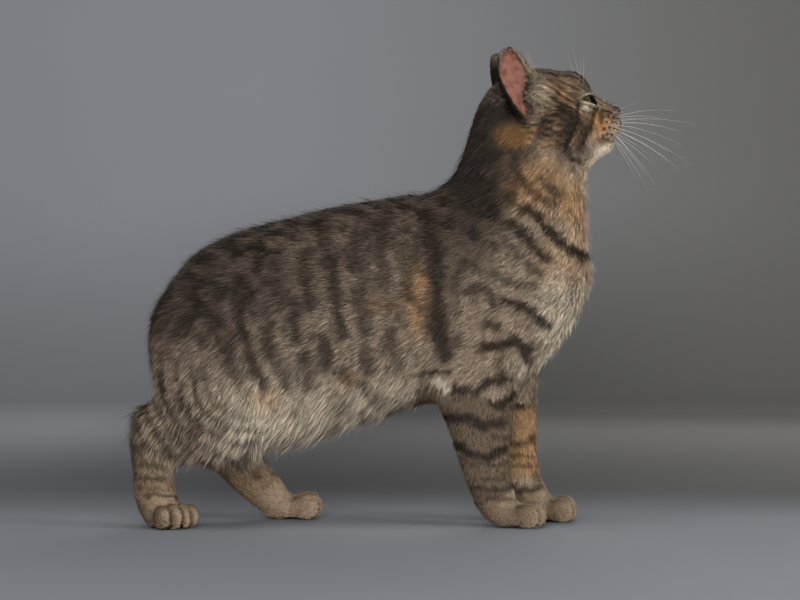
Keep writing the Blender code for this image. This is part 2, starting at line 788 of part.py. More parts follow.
def ear(side_name, side, head, collection, cutters):
    """A cupped shell between the ear's two margins, cut clear of the head."""
    bm = bmesh.new()
    outer, inner = smooth_path(EAR_OUTER, 2), smooth_path(EAR_INNER, 2)
    opens = EAR_OPENS.normalized()
    rows = []
    for i, (a, b) in enumerate(zip(outer, inner)):
        share = i / (len(outer) - 1)
        swell = math.sin(math.pi * min(1.0, EAR_FOOT_SHARE + share * (1 - EAR_FOOT_SHARE)))
        depth = EAR_DEPTH * swell ** EAR_SWELL_POWER
        row = []
        for j in range(EAR_COLUMNS):
            t = j / (EAR_COLUMNS - 1)
            point = Vector(a).lerp(Vector(b), t) - opens * depth * math.sin(math.pi * t) ** EAR_BOW_POWER
            lean = EAR_SWEEP[side_name] * share * share
            row.append(bm.verts.new((point.x - lean, side * point.y, point.z)))
        rows.append(row)
    for low, high in zip(rows, rows[1:]):
        for j in range(EAR_COLUMNS - 1):
            bm.faces.new((low[j], low[j + 1], high[j + 1], high[j]))
    made = object_of("ear_" + side_name, bm, collection)
    shell = made.modifiers.new("Shell", "SOLIDIFY")
    shell.thickness = EAR_THICKNESS * MM
    shell.offset = 0.0
    bake(made)
    cut(made, [grown(head, "head_space", PARTING, cutters)])
    keep_largest(made)
    return made


def face_pieces(made, collection, cutters):
    """The head's own pieces: eyes in sockets, nose leather, lips' parting, jaw and muzzle."""
    head = made["head"]
    for side_name, side in (("right", -1), ("left", 1)):
        made["eye_" + side_name] = eye(side, "eye_" + side_name, 0.0, collection)
        cut(head, [as_cutter(eye(side, "socket", PARTING, cutters)), eye_opening(side, cutters)])
    made["nose"], space = (
        pinched(rounded("nose", NOSE_PLACE, NOSE_RADII + Vector((grow,) * 3), holder, 8))
        for grow, holder in ((0.0, collection), (PARTING, cutters))
    )
    cut(head, [as_cutter(space)])
    nostrils = [rounded("nostril", spot, NOSTRIL_RADII, cutters, 6) for spot in sides_of(NOSTRIL_PLACE)]
    cut(made["nose"], nostrils)
    for side_name, side in (("right", -1), ("left", 1)):
        made["ear_" + side_name] = ear(side_name, side, head, collection, cutters)
    for spot in sides_of(EAR_BOWL_PLACE):
        cut(head, [ellipsoid("bowl", Matrix.Translation(spot), EAR_BOWL_RADII, cutters, 8)])
    made["jaw"] = copy_of(head, "jaw", collection)
    cut(made["jaw"], [mouth_block(0.0, 0.0, cutters)], "INTERSECT")
    keep_largest(made["jaw"])
    cut(head, [mouth_block(LIP_GAP, PARTING, cutters)])
    place, normal, half = MUZZLE_CUT
    cut(head, [slab("muzzle_cut", place, normal, half, cutters)])
    made.pop("head")
    made.update(split(head, ("head", "muzzle"), lambda centre: centre.x, collection))
    whiskers(made["muzzle"], cutters)


def pinched(nose):
    """Narrows the nose leather towards its lower edge."""
    frame = head_matrix()
    back = frame.inverted()
    for vert in nose.data.vertices:
        local = back @ (vert.co / MM)
        share = min(1.0, max(0.0, (NOSE_PLACE.z + 2.0 - local.z) / NOSE_RADII.z))
        local.y *= 1.0 - NOSE_PINCH * share * share
        vert.co = (frame @ local) * MM
    return nose


def main():
    clear_scene()
    cat = new_collection("tailless_cat")
    cutters = new_collection("cutters")
    skin = whole_skin(cat)
    pieces = parted(skin, cat, cutters)
    face_pieces(pieces, cat, cutters)
    for name, piece in pieces.items():
        piece.name = name
        piece.data.transform(Matrix.Translation(-ORIGIN * MM))
        piece.data.materials.clear()
        piece.data.materials.append(finish_of(LOOK_OF.get(name.split("_")[0], "coat")))
        piece.data.shade_smooth()
        piece.data.set_sharp_from_angle(angle=math.radians(40))


main()
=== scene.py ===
"""The looks of a life-size manx cat, a still model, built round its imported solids.

One skin stands for all the solids of flesh. It is their joined surface, drawn in
by the depth of the coat. Tufts of hair, as thin tapered blades, grow from it.
Lids, eyes, ears, nose leather and whiskers are surfaces of their own.

Units: sizes are in millimetres and become metres where a mesh is made.
The cat looks along +X, its right side faces the camera at -Y, and Z is up.
"""

import math

import bmesh
import bpy
import numpy as np
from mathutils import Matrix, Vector
from mathutils.bvhtree import BVHTree


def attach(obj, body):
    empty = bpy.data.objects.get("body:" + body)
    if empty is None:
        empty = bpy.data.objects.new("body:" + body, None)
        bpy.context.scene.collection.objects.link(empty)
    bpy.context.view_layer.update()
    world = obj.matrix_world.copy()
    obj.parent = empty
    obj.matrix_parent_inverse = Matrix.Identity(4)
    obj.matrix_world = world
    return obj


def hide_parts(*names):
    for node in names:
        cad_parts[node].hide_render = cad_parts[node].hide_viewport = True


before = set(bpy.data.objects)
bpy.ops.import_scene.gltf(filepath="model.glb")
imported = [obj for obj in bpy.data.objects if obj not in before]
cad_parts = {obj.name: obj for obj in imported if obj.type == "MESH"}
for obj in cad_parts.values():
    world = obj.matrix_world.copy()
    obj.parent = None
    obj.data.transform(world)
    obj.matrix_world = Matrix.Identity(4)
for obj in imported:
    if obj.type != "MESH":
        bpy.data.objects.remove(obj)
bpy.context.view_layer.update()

MM = 0.001
SEED = 41

# The photograph's camera, level with the flank.
IMAGE_WIDTH = 800
CAMERA_PLACE = (-8.5, -2050.0, 174.4)
FOCAL_PIXELS = 2628.0
SENSOR = 36.0

# The coat on each part, in mm: the hairs' length, how far the skin lies under
# their tips, and a tuft's width.
COATS = {
    "head": (4.6, 1.7, 0.44),
    "muzzle": (2.0, 0.7, 0.32),
    "jaw": (3.0, 1.1, 0.36),
    "ear": (3.2, 0.6, 0.40),
    "neck": (10.0, 4.4, 0.62),
    "chest": (10.0, 4.6, 0.64),
    "belly": (10.5, 4.6, 0.66),
    "rump": (10.5, 4.6, 0.66),
    "shoulder": (9.0, 3.8, 0.60),
    "foreleg": (5.4, 2.2, 0.50),
    "forepaw": (2.8, 0.9, 0.40),
    "thigh": (10.0, 4.2, 0.64),
    "hock": (5.2, 2.0, 0.50),
    "hindpaw": (2.8, 0.9, 0.40),
}
# The way that the hairs of each part point.
LIES = {
    "neck": (-0.68, 0.0, -0.73),
    "chest": (-0.88, 0.0, -0.46),
    "belly": (-0.95, 0.0, -0.28),
    "rump": (-0.90, 0.0, -0.42),
    "shoulder": (-0.80, 0.0, -0.60),
    "foreleg": (-0.06, 0.0, -1.0),
    "forepaw": (0.85, 0.0, -0.50),
    "thigh": (-0.80, 0.0, -0.60),
    "hock_right": (0.20, 0.0, -0.98),
    "hock_left": (0.80, 0.0, -0.60),
    "hindpaw_right": (0.60, -0.66, -0.40),
    "hindpaw_left": (0.90, 0.06, -0.40),
    "ear": (-0.25, 0.0, 0.97),
}
LOW_LIE = (-0.52, 0.0, -0.85)     # low on the trunk the hairs hang more
LOW_FROM, LOW_TO = 165.0, 85.0
UNDER_GROWTH = np.array((0.7, 0.8, 0.1))   # and are longer, deeper and wider by these shares below
# The pieces of the coat: the parts that each covers, and its count of tufts.
COAT_PIECES = {
    "coat_head": (("head",), 88000),
    "coat_face_and_ears": (("muzzle", "jaw", "ear"), 62000),
    "coat_neck": (("neck",), 72000),
    "coat_chest": (("chest",), 90000),
    "coat_belly": (("belly",), 92000),
    "coat_rump": (("rump",), 88000),
    "coat_shoulders": (("shoulder",), 60000),
    "coat_thighs": (("thigh",), 76000),
    "coat_legs": (("foreleg", "hock"), 62000),
    "coat_paws": (("forepaw", "hindpaw"), 52000),
}
TUFT_UV = 0.003         # a tuft's patch on the unwrap of the skin
SEEN_SHARE = 0.6        # how far along a tuft its seen part is
GUARD_SHARE = 0.06      # this share of the hairs stands out of the coat
GUARD_GROWTH = (1.35, 1.8, 0.55)    # and is longer, higher and thinner by these
CLUMP_SIZE = 7.0        # hairs gather in locks of about this spacing
CLUMP_LEAN = 1.1

# The skin.
GROWTH = 0.35           # closes the cuts between the solids
VOXEL = 2.9
FIELD_ROUNDS = 40       # how often the hairs' sizes and lies are evened out over the skin
FLOOR_SKIN = 0.1        # the soles lie this far over the floor
HEAD_REGION = (58.0, 262.0)   # the head lies ahead of and over this
FACE_START = 122.0
PAW_TOP = 34.0

# The head's own frame, as in the solids: a point between the eyes, and a pitch.
EYE_POINT = np.array((139.0, 0.0, 331.0))
HEAD_PITCH = math.radians(9.0)
NOSE_TIP = np.array((160.0, 0.0, 322.0))
MOUTH_CORNER = (-3.0, -33.0)
MOUTH_FALL = -2.5 / 33.0      # the lip line falls this much for each mm ahead
MOUTH_ARCH = 2.2
MOUTH_WAVE = 9.0
LIP_DEPTH, GROOVE_DEPTH = 1.5, 0.7

# The eyes.
EYE_PLACE = np.array((-7.0, 18.0, -5.5))
EYE_RADIUS = 10.5
EYE_BACKING = 1.5       # the skin lies this far under the eyeball
EYE_TURN = math.radians(34.0)
EYE_LIFT = math.radians(10.0)
OPENING_INNER, OPENING_OUTER = 11.0, 9.4
OPENING_UP, OPENING_DOWN = 4.9, 2.9
OPENING_POWER = 1.35    # over 1, the corners are pointed
OPENING_SLANT = math.radians(18.0)
IRIS_ANGLE = math.radians(50.0)
CORNEA_RISE, CORNEA_EDGE = 1.0, (0.3, 0.95)     # the dome's height, and the angles over which it ends
PUPIL_WIDTH, PUPIL_HEIGHT = 0.42, 0.64
FAR_OUT = 9.0           # a share that is surely outside

# The ears: their two margins from base to tip, as (x, side, z).
EAR_OUTER = (
    (90.5, 34, 309), (78.5, 39, 324), (68.5, 39, 343), (68.3, 35, 357), (70.3, 31.5, 364), (75.5, 28, 367.8),
)
EAR_INNER = (
    (96.5, 34, 309), (105.5, 31, 322), (101.5, 22, 340), (92.5, 18, 352.5), (85.5, 21, 362.5),
    (79, 25.5, 367.6),
)
EAR_OPENS = np.array((0.74, 0.66, 0.12))
EAR_DEPTH = 13.0
EAR_WALL = 1.2
EAR_REGION = (66.0, 309.0, 8.0)   # a cup lies ahead of, over and outside this
EAR_BACKING = 3.0       # the head's skin lies this far behind a cup's wall
EAR_REACH = 33.0
EDGE_SHARE = 0.06       # hair paler by EDGE_PALE covers this share of a cup's width at each margin
EDGE_PALE = 0.6
GLOW_FROM, GLOW_TO = 338.0, 314.0   # light shines through the foot of the ear below this
FRINGE_HAIRS = 300
FRINGE_REACH = (8, 17)
FRINGE_RADIUS = 0.07
EAR_SWEEP = {-1: 0.0, 1: 9.0}
CUP_FRONT = 98.0        # the cup is open behind this


def linear(hex_colour):
    """A colour of the screen, such as 8a7f6b, as the linear values that shaders take."""
    shares = [int(hex_colour[i:i + 2], 16) / 255 for i in (0, 2, 4)]
    return tuple(s / 12.92 if s <= 0.04045 else ((s + 0.055) / 1.055) ** 2.4 for s in shares)


def smooth_step(value, low, high):
    """0 at low, 1 at high, and a smooth rise between them."""
    t = np.clip((value - low) / (high - low), 0, 1)
    return t * t * (3 - 2 * t)


def mixed(a, b, share):
    """The point or number that far from a to b."""
    return a + (b - a) * share


def unit(vectors):
    """Each vector scaled to length 1."""
    vectors = np.asarray(vectors, float)
    return vectors / np.maximum(np.linalg.norm(vectors, axis=-1, keepdims=True), 1e-9)


def waves(points, wavelength, seed, count=9):
    """A smooth random field of about -1 to 1: sine waves near one length that run in random ways, summed."""
    draw = np.random.default_rng(seed)
    ways = unit(draw.normal(size=(count, points.shape[1]))) * draw.uniform(0.75, 1.35, (count, 1))
    turns = draw.uniform(0, 2 * math.pi, count)
    return np.sin(points @ ways.T * (2 * math.pi / wavelength) + turns).sum(1) / math.sqrt(count)


def path_through(points, shares):
    """Places along a smooth path through the points, by uniform Catmull-Rom arcs; shares run from 0 to 1."""
    points = np.asarray(points, float)
    ends = np.concatenate([2 * points[:1] - points[1:2], points, 2 * points[-1:] - points[-2:-1]])
    along = np.clip(np.asarray(shares, float), 0, 1) * (len(points) - 1)
    k = np.minimum(along.astype(int), len(points) - 2)
    t = (along - k)[:, None]
    a, b, c, d = ends[k], ends[k + 1], ends[k + 2], ends[k + 3]
    bend, twist = 2 * a - 5 * b + 4 * c - d, 3 * b - a - 3 * c + d
    return 0.5 * (2 * b + (c - a) * t + bend * t ** 2 + twist * t ** 3)


# Frames of the head and the eyes.

HEAD_AXES = np.array((
    (math.cos(HEAD_PITCH), 0.0, math.sin(HEAD_PITCH)),
    (0.0, 1.0, 0.0),
    (-math.sin(HEAD_PITCH), 0.0, math.cos(HEAD_PITCH)),
))


def from_head(points):
    """Points of the head's frame (ahead, left, up) in the model's frame."""
    return np.asarray(points, float) @ HEAD_AXES + EYE_POINT


def to_head(points):
    """Points of the model's frame in the head's frame."""
    return (points - EYE_POINT) @ HEAD_AXES.T


def eye_centre(side):
    """The middle of an eyeball."""
    return from_head(EYE_PLACE * (1, side, 1))


def gaze_axes(side):
    """The eye's own frame: rows look out of the eye, run to the cat's left, and up."""
    turn, lift = side * EYE_TURN, EYE_LIFT
    turned = np.array((
        (math.cos(turn), math.sin(turn), 0.0),
        (-math.sin(turn), math.cos(turn), 0.0),
        (0.0, 0.0, 1.0),
    ))
    lifted = np.array((
        (math.cos(lift), 0.0, math.sin(lift)),
        (0.0, 1.0, 0.0),
        (-math.sin(lift), 0.0, math.cos(lift)),
    ))
    return lifted @ turned @ HEAD_AXES


def opening(angles, side):
    """The almond between the lids, across and up: wide to the inner corner, higher above, slanted."""
    out, up = np.cos(angles), np.sin(angles)
    across = out * np.where(out > 0, OPENING_OUTER, OPENING_INNER)
    rise = np.sign(up) * np.abs(up) ** OPENING_POWER * np.where(up > 0, OPENING_UP, OPENING_DOWN)
    c, s = math.cos(OPENING_SLANT), math.sin(OPENING_SLANT)
    return side * (across * c - rise * s), across * s + rise * c


def opening_share(points, side):
    """How far out a point lies in the lids' almond, 1 on its edge, as seen along the gaze."""
    local = (points - eye_centre(side)) @ gaze_axes(side).T
    c, s = math.cos(OPENING_SLANT), math.sin(OPENING_SLANT)
    across = side * local[:, 1] * c + local[:, 2] * s
    rise = -side * local[:, 1] * s + local[:, 2] * c
    width = np.where(across > 0, OPENING_OUTER, OPENING_INNER)
    height = np.where(rise > 0, OPENING_UP, OPENING_DOWN)
    share = np.abs(across / width) ** 2 + np.abs(rise / height) ** (2 / OPENING_POWER)
    return np.where(local[:, 0] > 0, np.sqrt(share), FAR_OUT), local


# Meshes.


def mesh_object(name, points, faces, *materials):
    """A new object at the origin from points in mm and an array of faces of one size."""
    faces = np.asarray(faces, np.int32)
    mesh = bpy.data.meshes.new(name)
    mesh.vertices.add(len(points))
    mesh.vertices.foreach_set("co", (np.asarray(points) * MM).astype(np.float32).ravel())
    mesh.loops.add(faces.size)
    mesh.loops.foreach_set("vertex_index", faces.ravel())
    mesh.polygons.add(len(faces))
    mesh.polygons.foreach_set("loop_start", np.arange(len(faces), dtype=np.int32) * faces.shape[1])
    mesh.update(calc_edges=True)
    mesh.validate()
    for material in materials:
        mesh.materials.append(material)
    mesh.shade_smooth()
    made = bpy.data.objects.new(name, mesh)
    bpy.context.scene.collection.objects.link(made)
    return made


def arrays_of(mesh):
    """The mesh's points in mm and its triangles, as arrays."""
    points = np.empty(len(mesh.vertices) * 3, np.float32)
    mesh.vertices.foreach_get("co", points)
    mesh.calc_loop_triangles()
    corners = np.empty(len(mesh.loop_triangles) * 3, np.int32)
    mesh.loop_triangles.foreach_get("vertices", corners)
    return points.reshape(-1, 3).astype(float) / MM, corners.reshape(-1, 3)


def sums_at(indexes, values, count):
    """The sum of the values that share each index."""
    return np.stack([np.bincount(indexes, values[:, k], count) for k in range(values.shape[1])], axis=1)


def normals_of(points, triangles):
    """The outward way at each point: its triangles' crossed edges, summed."""
    a, b, c = (points[triangles[:, i]] for i in range(3))
    faces = np.cross(b - a, c - a)
    return unit(sums_at(triangles.T.ravel(), np.tile(faces, (3, 1)), len(points)))


def settle(values, triangles, rounds, hold=0.4):
    """Each point's values drawn towards the mean of its neighbours', as many times as rounds."""
    shape = np.shape(values)
    values = np.asarray(values, float).reshape(len(values), -1)
    starts = triangles[:, [0, 1, 2]].ravel()
    ends = triangles[:, [1, 2, 0]].ravel()
    starts, ends = np.concatenate([starts, ends]), np.concatenate([ends, starts])
    counts = np.bincount(starts, minlength=len(values))[:, None]
    for _ in range(rounds):
        values = mixed(sums_at(starts, values[ends], len(values)) / counts, values, hold)
    return values.reshape(shape)


def grid_faces(rows, columns, closed=True):
    """The four corners of each face of a grid of points; closed joins the last column to the first."""
    across = columns if closed else columns - 1
    i, j = np.meshgrid(np.arange(rows - 1), np.arange(across), indexing="ij")
    k = (j + 1) % columns
    first, second = i * columns, (i + 1) * columns
    return np.stack([first + j, first + k, second + k, second + j], -1).reshape(-1, 4)


def colours_to(mesh, name, values):
    """Stores an array of up to four numbers a point as a colour attribute."""
    full = np.ones((len(mesh.vertices), 4), np.float32)
    full[:, :values.shape[1]] = values
    mesh.attributes.new(name, "FLOAT_COLOR", "POINT").data.foreach_set("color", full.ravel())


# The skin.

FLESH = [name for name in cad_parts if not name.startswith(("eye", "nose", "ear"))]
SIDED = ("_right", "_left")
TRUNK = ("chest", "belly", "rump", "thigh")
UNDER_FROM, UNDER_TO, UNDER_END = 112, 72, 52    # the hair grows towards the belly, down to the legs


def part_name(node):
    """A node's name without its side."""
    return node.rsplit("_", 1)[0] if node.endswith(SIDED) else node


def merged(node):
    """A copy of a solid whose loose triangles are joined at their corners."""
    lump = bmesh.new()
    lump.from_mesh(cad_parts[node].data)
    bmesh.ops.remove_doubles(lump, verts=lump.verts, dist=1e-6)
    lump.normal_update()
    return lump


def joined_flesh():
    """The solids as one closed surface: each is swollen so that they overlap, then all are remeshed."""
    mesh = bpy.data.meshes.new("flesh")
    joined = bmesh.new()
    for node in [*FLESH, "eye_right", "eye_left", "nose"]:
        lump = merged(node)
        for v in lump.verts:
            v.co += v.normal * GROWTH * MM
        lump.to_mesh(mesh)
        lump.free()
        joined.from_mesh(mesh)
    joined.to_mesh(mesh)
    joined.free()
    flesh = bpy.data.objects.new("flesh", mesh)
    bpy.context.scene.collection.objects.link(flesh)
    remesh = flesh.modifiers.new("One surface", "REMESH")
    remesh.mode = "VOXEL"
    remesh.voxel_size = VOXEL * MM
    whole = bpy.data.meshes.new_from_object(flesh.evaluated_get(bpy.context.evaluated_depsgraph_get()))
    bpy.data.objects.remove(flesh)
    return whole


def refined(mesh):
    """The largest closed surface, with finer faces on the head and finer ones again on the face."""
    work = bmesh.new()
    work.from_mesh(mesh)
    seen, largest = set(), []
    for start in work.verts:
        if start in seen:
            continue
        island, edge = [start], [start]
        seen.add(start)
        while edge:
            for link in edge.pop().link_edges:
                for v in link.verts:
                    if v not in seen:
                        seen.add(v)
                        island.append(v)
                        edge.append(v)
        if len(island) > len(largest):
            largest = island
    kept = set(largest)
    bmesh.ops.delete(work, geom=[v for v in work.verts if v not in kept], context="VERTS")
    for ahead, over, under, cuts in (
        (HEAD_REGION[0], HEAD_REGION[1], None, 1),
        (FACE_START, HEAD_REGION[1], None, 1),
        (None, None, PAW_TOP, 2),
    ):
        edges = [
            e for e in work.edges
            if all(
                (v.co.z < under * MM) if under else (v.co.x > ahead * MM and v.co.z > over * MM)
                for v in e.verts
            )
        ]
        bmesh.ops.subdivide_edges(work, edges=edges, cuts=cuts, use_grid_fill=True, smooth=0.0)
    bmesh.ops.triangulate(work, faces=work.faces)
    work.to_mesh(mesh)
    work.free()
    return arrays_of(mesh)


def parts_at(points):
    """The solid that lies nearest to each point, as an index into FLESH."""
    corners, faces, owners = [], [], []
    for k, node in enumerate(FLESH):
        places, triangles = arrays_of(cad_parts[node].data)
        faces.append(triangles + sum(map(len, corners)))
        corners.append(places)
        owners.append(np.full(len(triangles), k))
    tree = BVHTree.FromPolygons(np.concatenate(corners).tolist(), np.concatenate(faces).tolist())
    owners = np.concatenate(owners)
    return owners[[tree.find_nearest(Vector(p))[2] for p in points]]


def lie_of(points, node):
    """The way of the hairs on one solid: outwards from the nose on the head, else the part's own."""
    part = part_name(node)
    if part in ("head", "muzzle", "jaw"):
        away = unit(points - NOSE_TIP)
        return unit(away + (-0.25, 0.0, -0.1))
    lies = np.tile(unit(LIES.get(node, LIES.get(part))), (len(points), 1))
    if part in TRUNK:
        low = 1 - smooth_step(points[:, 2:], LOW_TO, LOW_FROM)
        lies = mixed(lies, unit(LOW_LIE), low)
    return lies


def coat_fields(points, triangles, owners):
    """At each point of the skin: the hairs' length, depth, width and lie, all without sudden steps."""
    sizes = np.array([COATS[part_name(node)] for node in FLESH])[owners]
    lies = np.zeros_like(points)
    for k, node in enumerate(FLESH):
        here = owners == k
        lies[here] = lie_of(points[here], node)
    near_eye = np.minimum(*(np.linalg.norm(points - eye_centre(side), axis=1) for side in (1, -1)))
    trunk = np.isin(np.array([part_name(node) for node in FLESH])[owners], TRUNK)
    under = (1 - smooth_step(points[:, 2], UNDER_TO, UNDER_FROM)) * trunk * (points[:, 2] > UNDER_END)
    sizes = sizes * (1 + under[:, None] * UNDER_GROWTH)
    fields = settle(np.concatenate([sizes, lies], axis=1), triangles, FIELD_ROUNDS)
    sizes, lies = fields[:, :3], fields[:, 3:]
    sizes[:, 1] = mixed(0.35, sizes[:, 1], smooth_step(near_eye, 14, 24))
    sizes[:, 0] = mixed(2.2, sizes[:, 0], smooth_step(near_eye, 12, 26))
    return sizes, lies


def mouth_height(head_points):
    """How far a point of the head's frame lies over the wavy line between the lips."""
    ahead, across, up = head_points.T
    wave = MOUTH_ARCH * np.cos(math.pi * across / MOUTH_WAVE) * np.exp(-((across / 16.0) ** 2))
    return up - (MOUTH_CORNER[1] + (ahead - MOUTH_CORNER[0]) * MOUTH_FALL + wave)


def carve_face(points, normals):
    """Draws the skin in at the lips' parting, under the nose, and behind the eyeballs inside the lids."""
    local = to_head(points)
    lips = np.exp(-((mouth_height(local) / 0.9) ** 2)) * smooth_step(local[:, 0], -5, 1)
    groove = np.exp(-((local[:, 1] / 0.9) ** 2)) * smooth_step(local[:, 0], 14, 18)
    groove *= smooth_step(mouth_height(local), -1, 1) * smooth_step(local[:, 2], -12, -16)
    points = points - normals * (LIP_DEPTH * lips + GROOVE_DEPTH * groove)[:, None]
    for side in (1, -1):
        share, local = opening_share(points, side)
        reach = np.linalg.norm(local, axis=1, keepdims=True)
        centre = eye_centre(side)
        inside = 1 - smooth_step(share, 1.05, 1.3)[:, None]
        pressed = centre + (points - centre) * (EYE_RADIUS - EYE_BACKING) / np.maximum(reach, 1)
        near = (np.abs(reach - EYE_RADIUS) < 4.5)
        points = np.where(near, mixed(points, pressed, inside), points)
    return points, lips


# Each paw's middle (x, y), its turn in degrees, length and width, as in the solids.
PAWS = (
    (81.5, -33, -14, 45, 37),
    (108.5, 21, -6, 45, 37),
    (-186.5, -42, -48, 45, 35),
    (-95.5, 46, 4, 50, 35),
)
# The toes' clefts: how deep and wide they are carved, and how far they are painted dark as shade.
CLEFT_DEPTH, CLEFT_WIDTH, CLEFT_PAINTED_SHADE = 2.6, 1.25, 0.8


def toe_clefts(points):
    """1 in the clefts between the four toes of each paw, and 0 on the toes; they fan out a little ahead."""
    clefts = np.zeros(len(points))
    for x, y, turn, length, width in PAWS:
        turn = math.radians(turn)
        dx, dy = points[:, 0] - x, points[:, 1] - y
        ahead = dx * math.cos(turn) + dy * math.sin(turn)
        across = (dy * math.cos(turn) - dx * math.sin(turn)) / (1 + 0.25 * ahead / length)
        here = (np.abs(across) < 0.7 * width) & (ahead < 0.9 * length) & (points[:, 2] < 40)
        front = smooth_step(ahead, 0.06 * length, 0.26 * length) * here
        for k in (-1, 0, 1):
            clefts = np.maximum(clefts, front * np.exp(-(((across - k * width / 4) / CLEFT_WIDTH) ** 2)))
    return clefts


def open_ear(points, side):
    """Draws in what lies over the cup of an ear until it is behind the cup's wall."""
    shell, triangles, _, margin = ear_shell(side)
    tree = BVHTree.FromPolygons(shell.tolist(), triangles.tolist())
    way = Vector(-unit(EAR_OPENS) * (1, side, 1))
    ahead, over, out = EAR_REGION
    near = (points[:, 0] > ahead) & (points[:, 0] < CUP_FRONT)
    near &= (points[:, 2] > over) & (points[:, 1] * side > out)
    moved, hidden = points.copy(), np.zeros(len(points), bool)
    for k in np.nonzero(near)[0]:
        # A point a little behind the wall's face counts too, so that no hair grows through it.
        start = Vector(points[k]) - way * EAR_BACKING
        place, normal, face, _ = tree.ray_cast(start, way, EAR_REACH)
        if place is not None and normal.dot(way) < 0 and margin[triangles[face]].min() > 0.05:
            moved[k] = place + way * (EAR_WALL + EAR_BACKING)
            hidden[k] = True
    return moved, hidden


# Markings.

# Dark strokes as seen from the side: (points as x and z, half width, strength).
FLANK_STROKES = (
    (((-184, 168), (-183, 150)), 6.0, 0.5),
    (((-170, 186), (-168, 150)), 3.5, 0.4),
    (((-151, 198), (-150, 174)), 4.0, 0.6),
    (((-148, 163), (-146, 146), (-139, 130), (-132, 114)), 3.2, 0.7),
    (((-132, 182), (-130, 156), (-126, 142), (-119, 123), (-113, 110)), 3.6, 0.85),
    (((-119, 174), (-118, 164)), 3.5, 0.5),
    (((-108, 155), (-107, 136)), 4.0, 0.75),
    (((-102, 200), (-99, 172)), 4.5, 0.65),
    (((-100, 128), (-95, 108)), 3.5, 0.5),
    (((-89, 171), (-87, 146)), 3.6, 0.85),
    (((-81, 202), (-79, 172)), 4.2, 0.8),
    (((-83, 132), (-80, 112)), 4.0, 0.6),
    (((-66, 146), (-65, 127)), 4.2, 0.8),
    (((-66, 238), (-65, 203)), 4.5, 0.6),
    (((-58, 200), (-57, 176), (-53, 148)), 4.0, 0.85),
    (((-43, 222), (-42, 200)), 4.5, 0.75),
    (((-37, 183), (-35, 151)), 4.3, 0.7),
    (((-35, 138), (-34, 124)), 4.5, 0.6),
    (((-54, 123), (-42, 114), (-30, 103)), 4.0, 0.6),
    (((-18, 240), (-22, 226), (-22, 201)), 3.8, 0.75),
    (((-20, 190), (-19, 171)), 3.5, 0.5),
    (((-17, 149), (-15, 136)), 4.6, 0.65),
    (((-12, 132), (-10, 124)), 4.0, 0.5),
    (((-5, 216), (-3, 190), (0, 176)), 3.6, 0.6),
    (((-8, 168), (-8, 158)), 3.4, 0.4),
    (((5, 210), (5, 204)), 3.4, 0.6),
    (((14, 234), (17, 212), (19, 190), (20, 168), (22, 150), (26, 134)), 6.0, 1.0),
    (((18, 165), (22, 148)), 8.0, 0.8),
    (((33, 193), (33, 163)), 3.6, 0.45),
    (((35, 147), (36, 141)), 4.0, 0.5),
    (((-22, 98), (-18, 95)), 4.0, 0.4),
    (((-9, 95), (-7, 90)), 3.0, 0.4),
    (((-38, 90), (-35, 84)), 4.0, 0.4),
    (((-56, 98), (-63, 80)), 4.0, 0.4),
)
FRONT_STROKES = (
    (((85, 244), (96, 238), (107, 224), (118, 214), (133, 208)), 3.6, 0.95),
    (((76, 232), (86, 224), (94, 213), (103, 206)), 4.0, 0.75),
    (((90, 201), (97, 195)), 4.0, 0.5),
    (((72, 221), (82, 208)), 3.0, 0.45),
    (((61, 195), (70, 190), (80, 186), (94, 186)), 2.8, 0.5),
    (((42, 181), (51, 185), (58, 182), (62, 172)), 3.2, 0.6),
    (((71, 173), (87, 169), (94, 163), (101, 156)), 3.2, 0.85),
    (((57, 155), (66, 155)), 3.4, 0.6),
    (((55, 138), (68, 140), (80, 144), (91, 139)), 3.4, 1.0),
    (((80, 143), (88, 132)), 4.0, 0.9),
    (((8, 119), (30, 120)), 1.6, 0.7),
    (((35, 106), (50, 106), (60, 113), (69, 113)), 3.4, 1.0),
    (((60, 96), (68, 94), (76, 102)), 2.8, 0.8),
    (((28, 85), (44, 84), (54, 79), (69, 81)), 3.6, 1.0),
    (((36, 64), (46, 57), (58, 54), (70, 61)), 3.0, 1.0),
    (((63, 69), (71, 69)), 2.2, 0.5),
    (((48, 49), (61, 48), (74, 49)), 1.5, 0.45),
    (((56, 38), (70, 38)), 1.6, 0.5),
    (((48, 31), (62, 29), (82, 31)), 1.8, 0.6),
    (((60, 23), (80, 21)), 1.6, 0.45),
)
FAR_FORELEG_STROKES = (
    (((74, 97), (84, 94), (96, 96)), 4.4, 0.95),
    (((74, 63), (84, 61), (94, 66)), 2.6, 0.65),
    (((78, 53), (96, 51)), 1.8, 0.6),
    (((80, 45), (98, 44)), 1.8, 0.5),
    (((96, 36), (99, 34)), 3.0, 0.6),
    (((78, 27), (88, 25), (100, 27)), 3.0, 0.8),
    (((62, 82), (74, 80)), 3.0, 0.7),
    (((60, 112), (90, 116)), 3.5, 0.7),
)
HIND_STROKES = (
    (((-206, 64), (-194, 60), (-180, 54)), 2.2, 0.75),
    (((-212, 88), (-212, 40)), 4.0, 0.55),
    (((-205, 49), (-190, 47)), 2.0, 0.6),
    (((-206, 38), (-190, 37)), 1.7, 0.65),
    (((-206, 32), (-196, 31)), 1.4, 0.4),
    (((-200, 25), (-186, 25), (-178, 23)), 1.5, 0.6),
    (((-140, 44), (-134, 42)), 2.6, 0.55),
    (((-120, 48), (-113, 46)), 2.8, 0.6),
    (((-108, 36), (-103, 34)), 2.4, 0.6),
    (((-124, 36), (-121, 33)), 1.8, 0.4),
)
NECK_STROKES = (
    (((82, 271), (91, 258), (98, 252), (108, 247)), 2.8, 0.6),
    (((99, 267), (105, 261), (110, 255)), 2.4, 0.65),
    (((64, 274), (77, 265)), 3.0, 0.5),
    (((60, 252), (73, 252)), 5.0, 0.5),
    (((46, 262), (50, 240)), 4.0, 0.35),
)
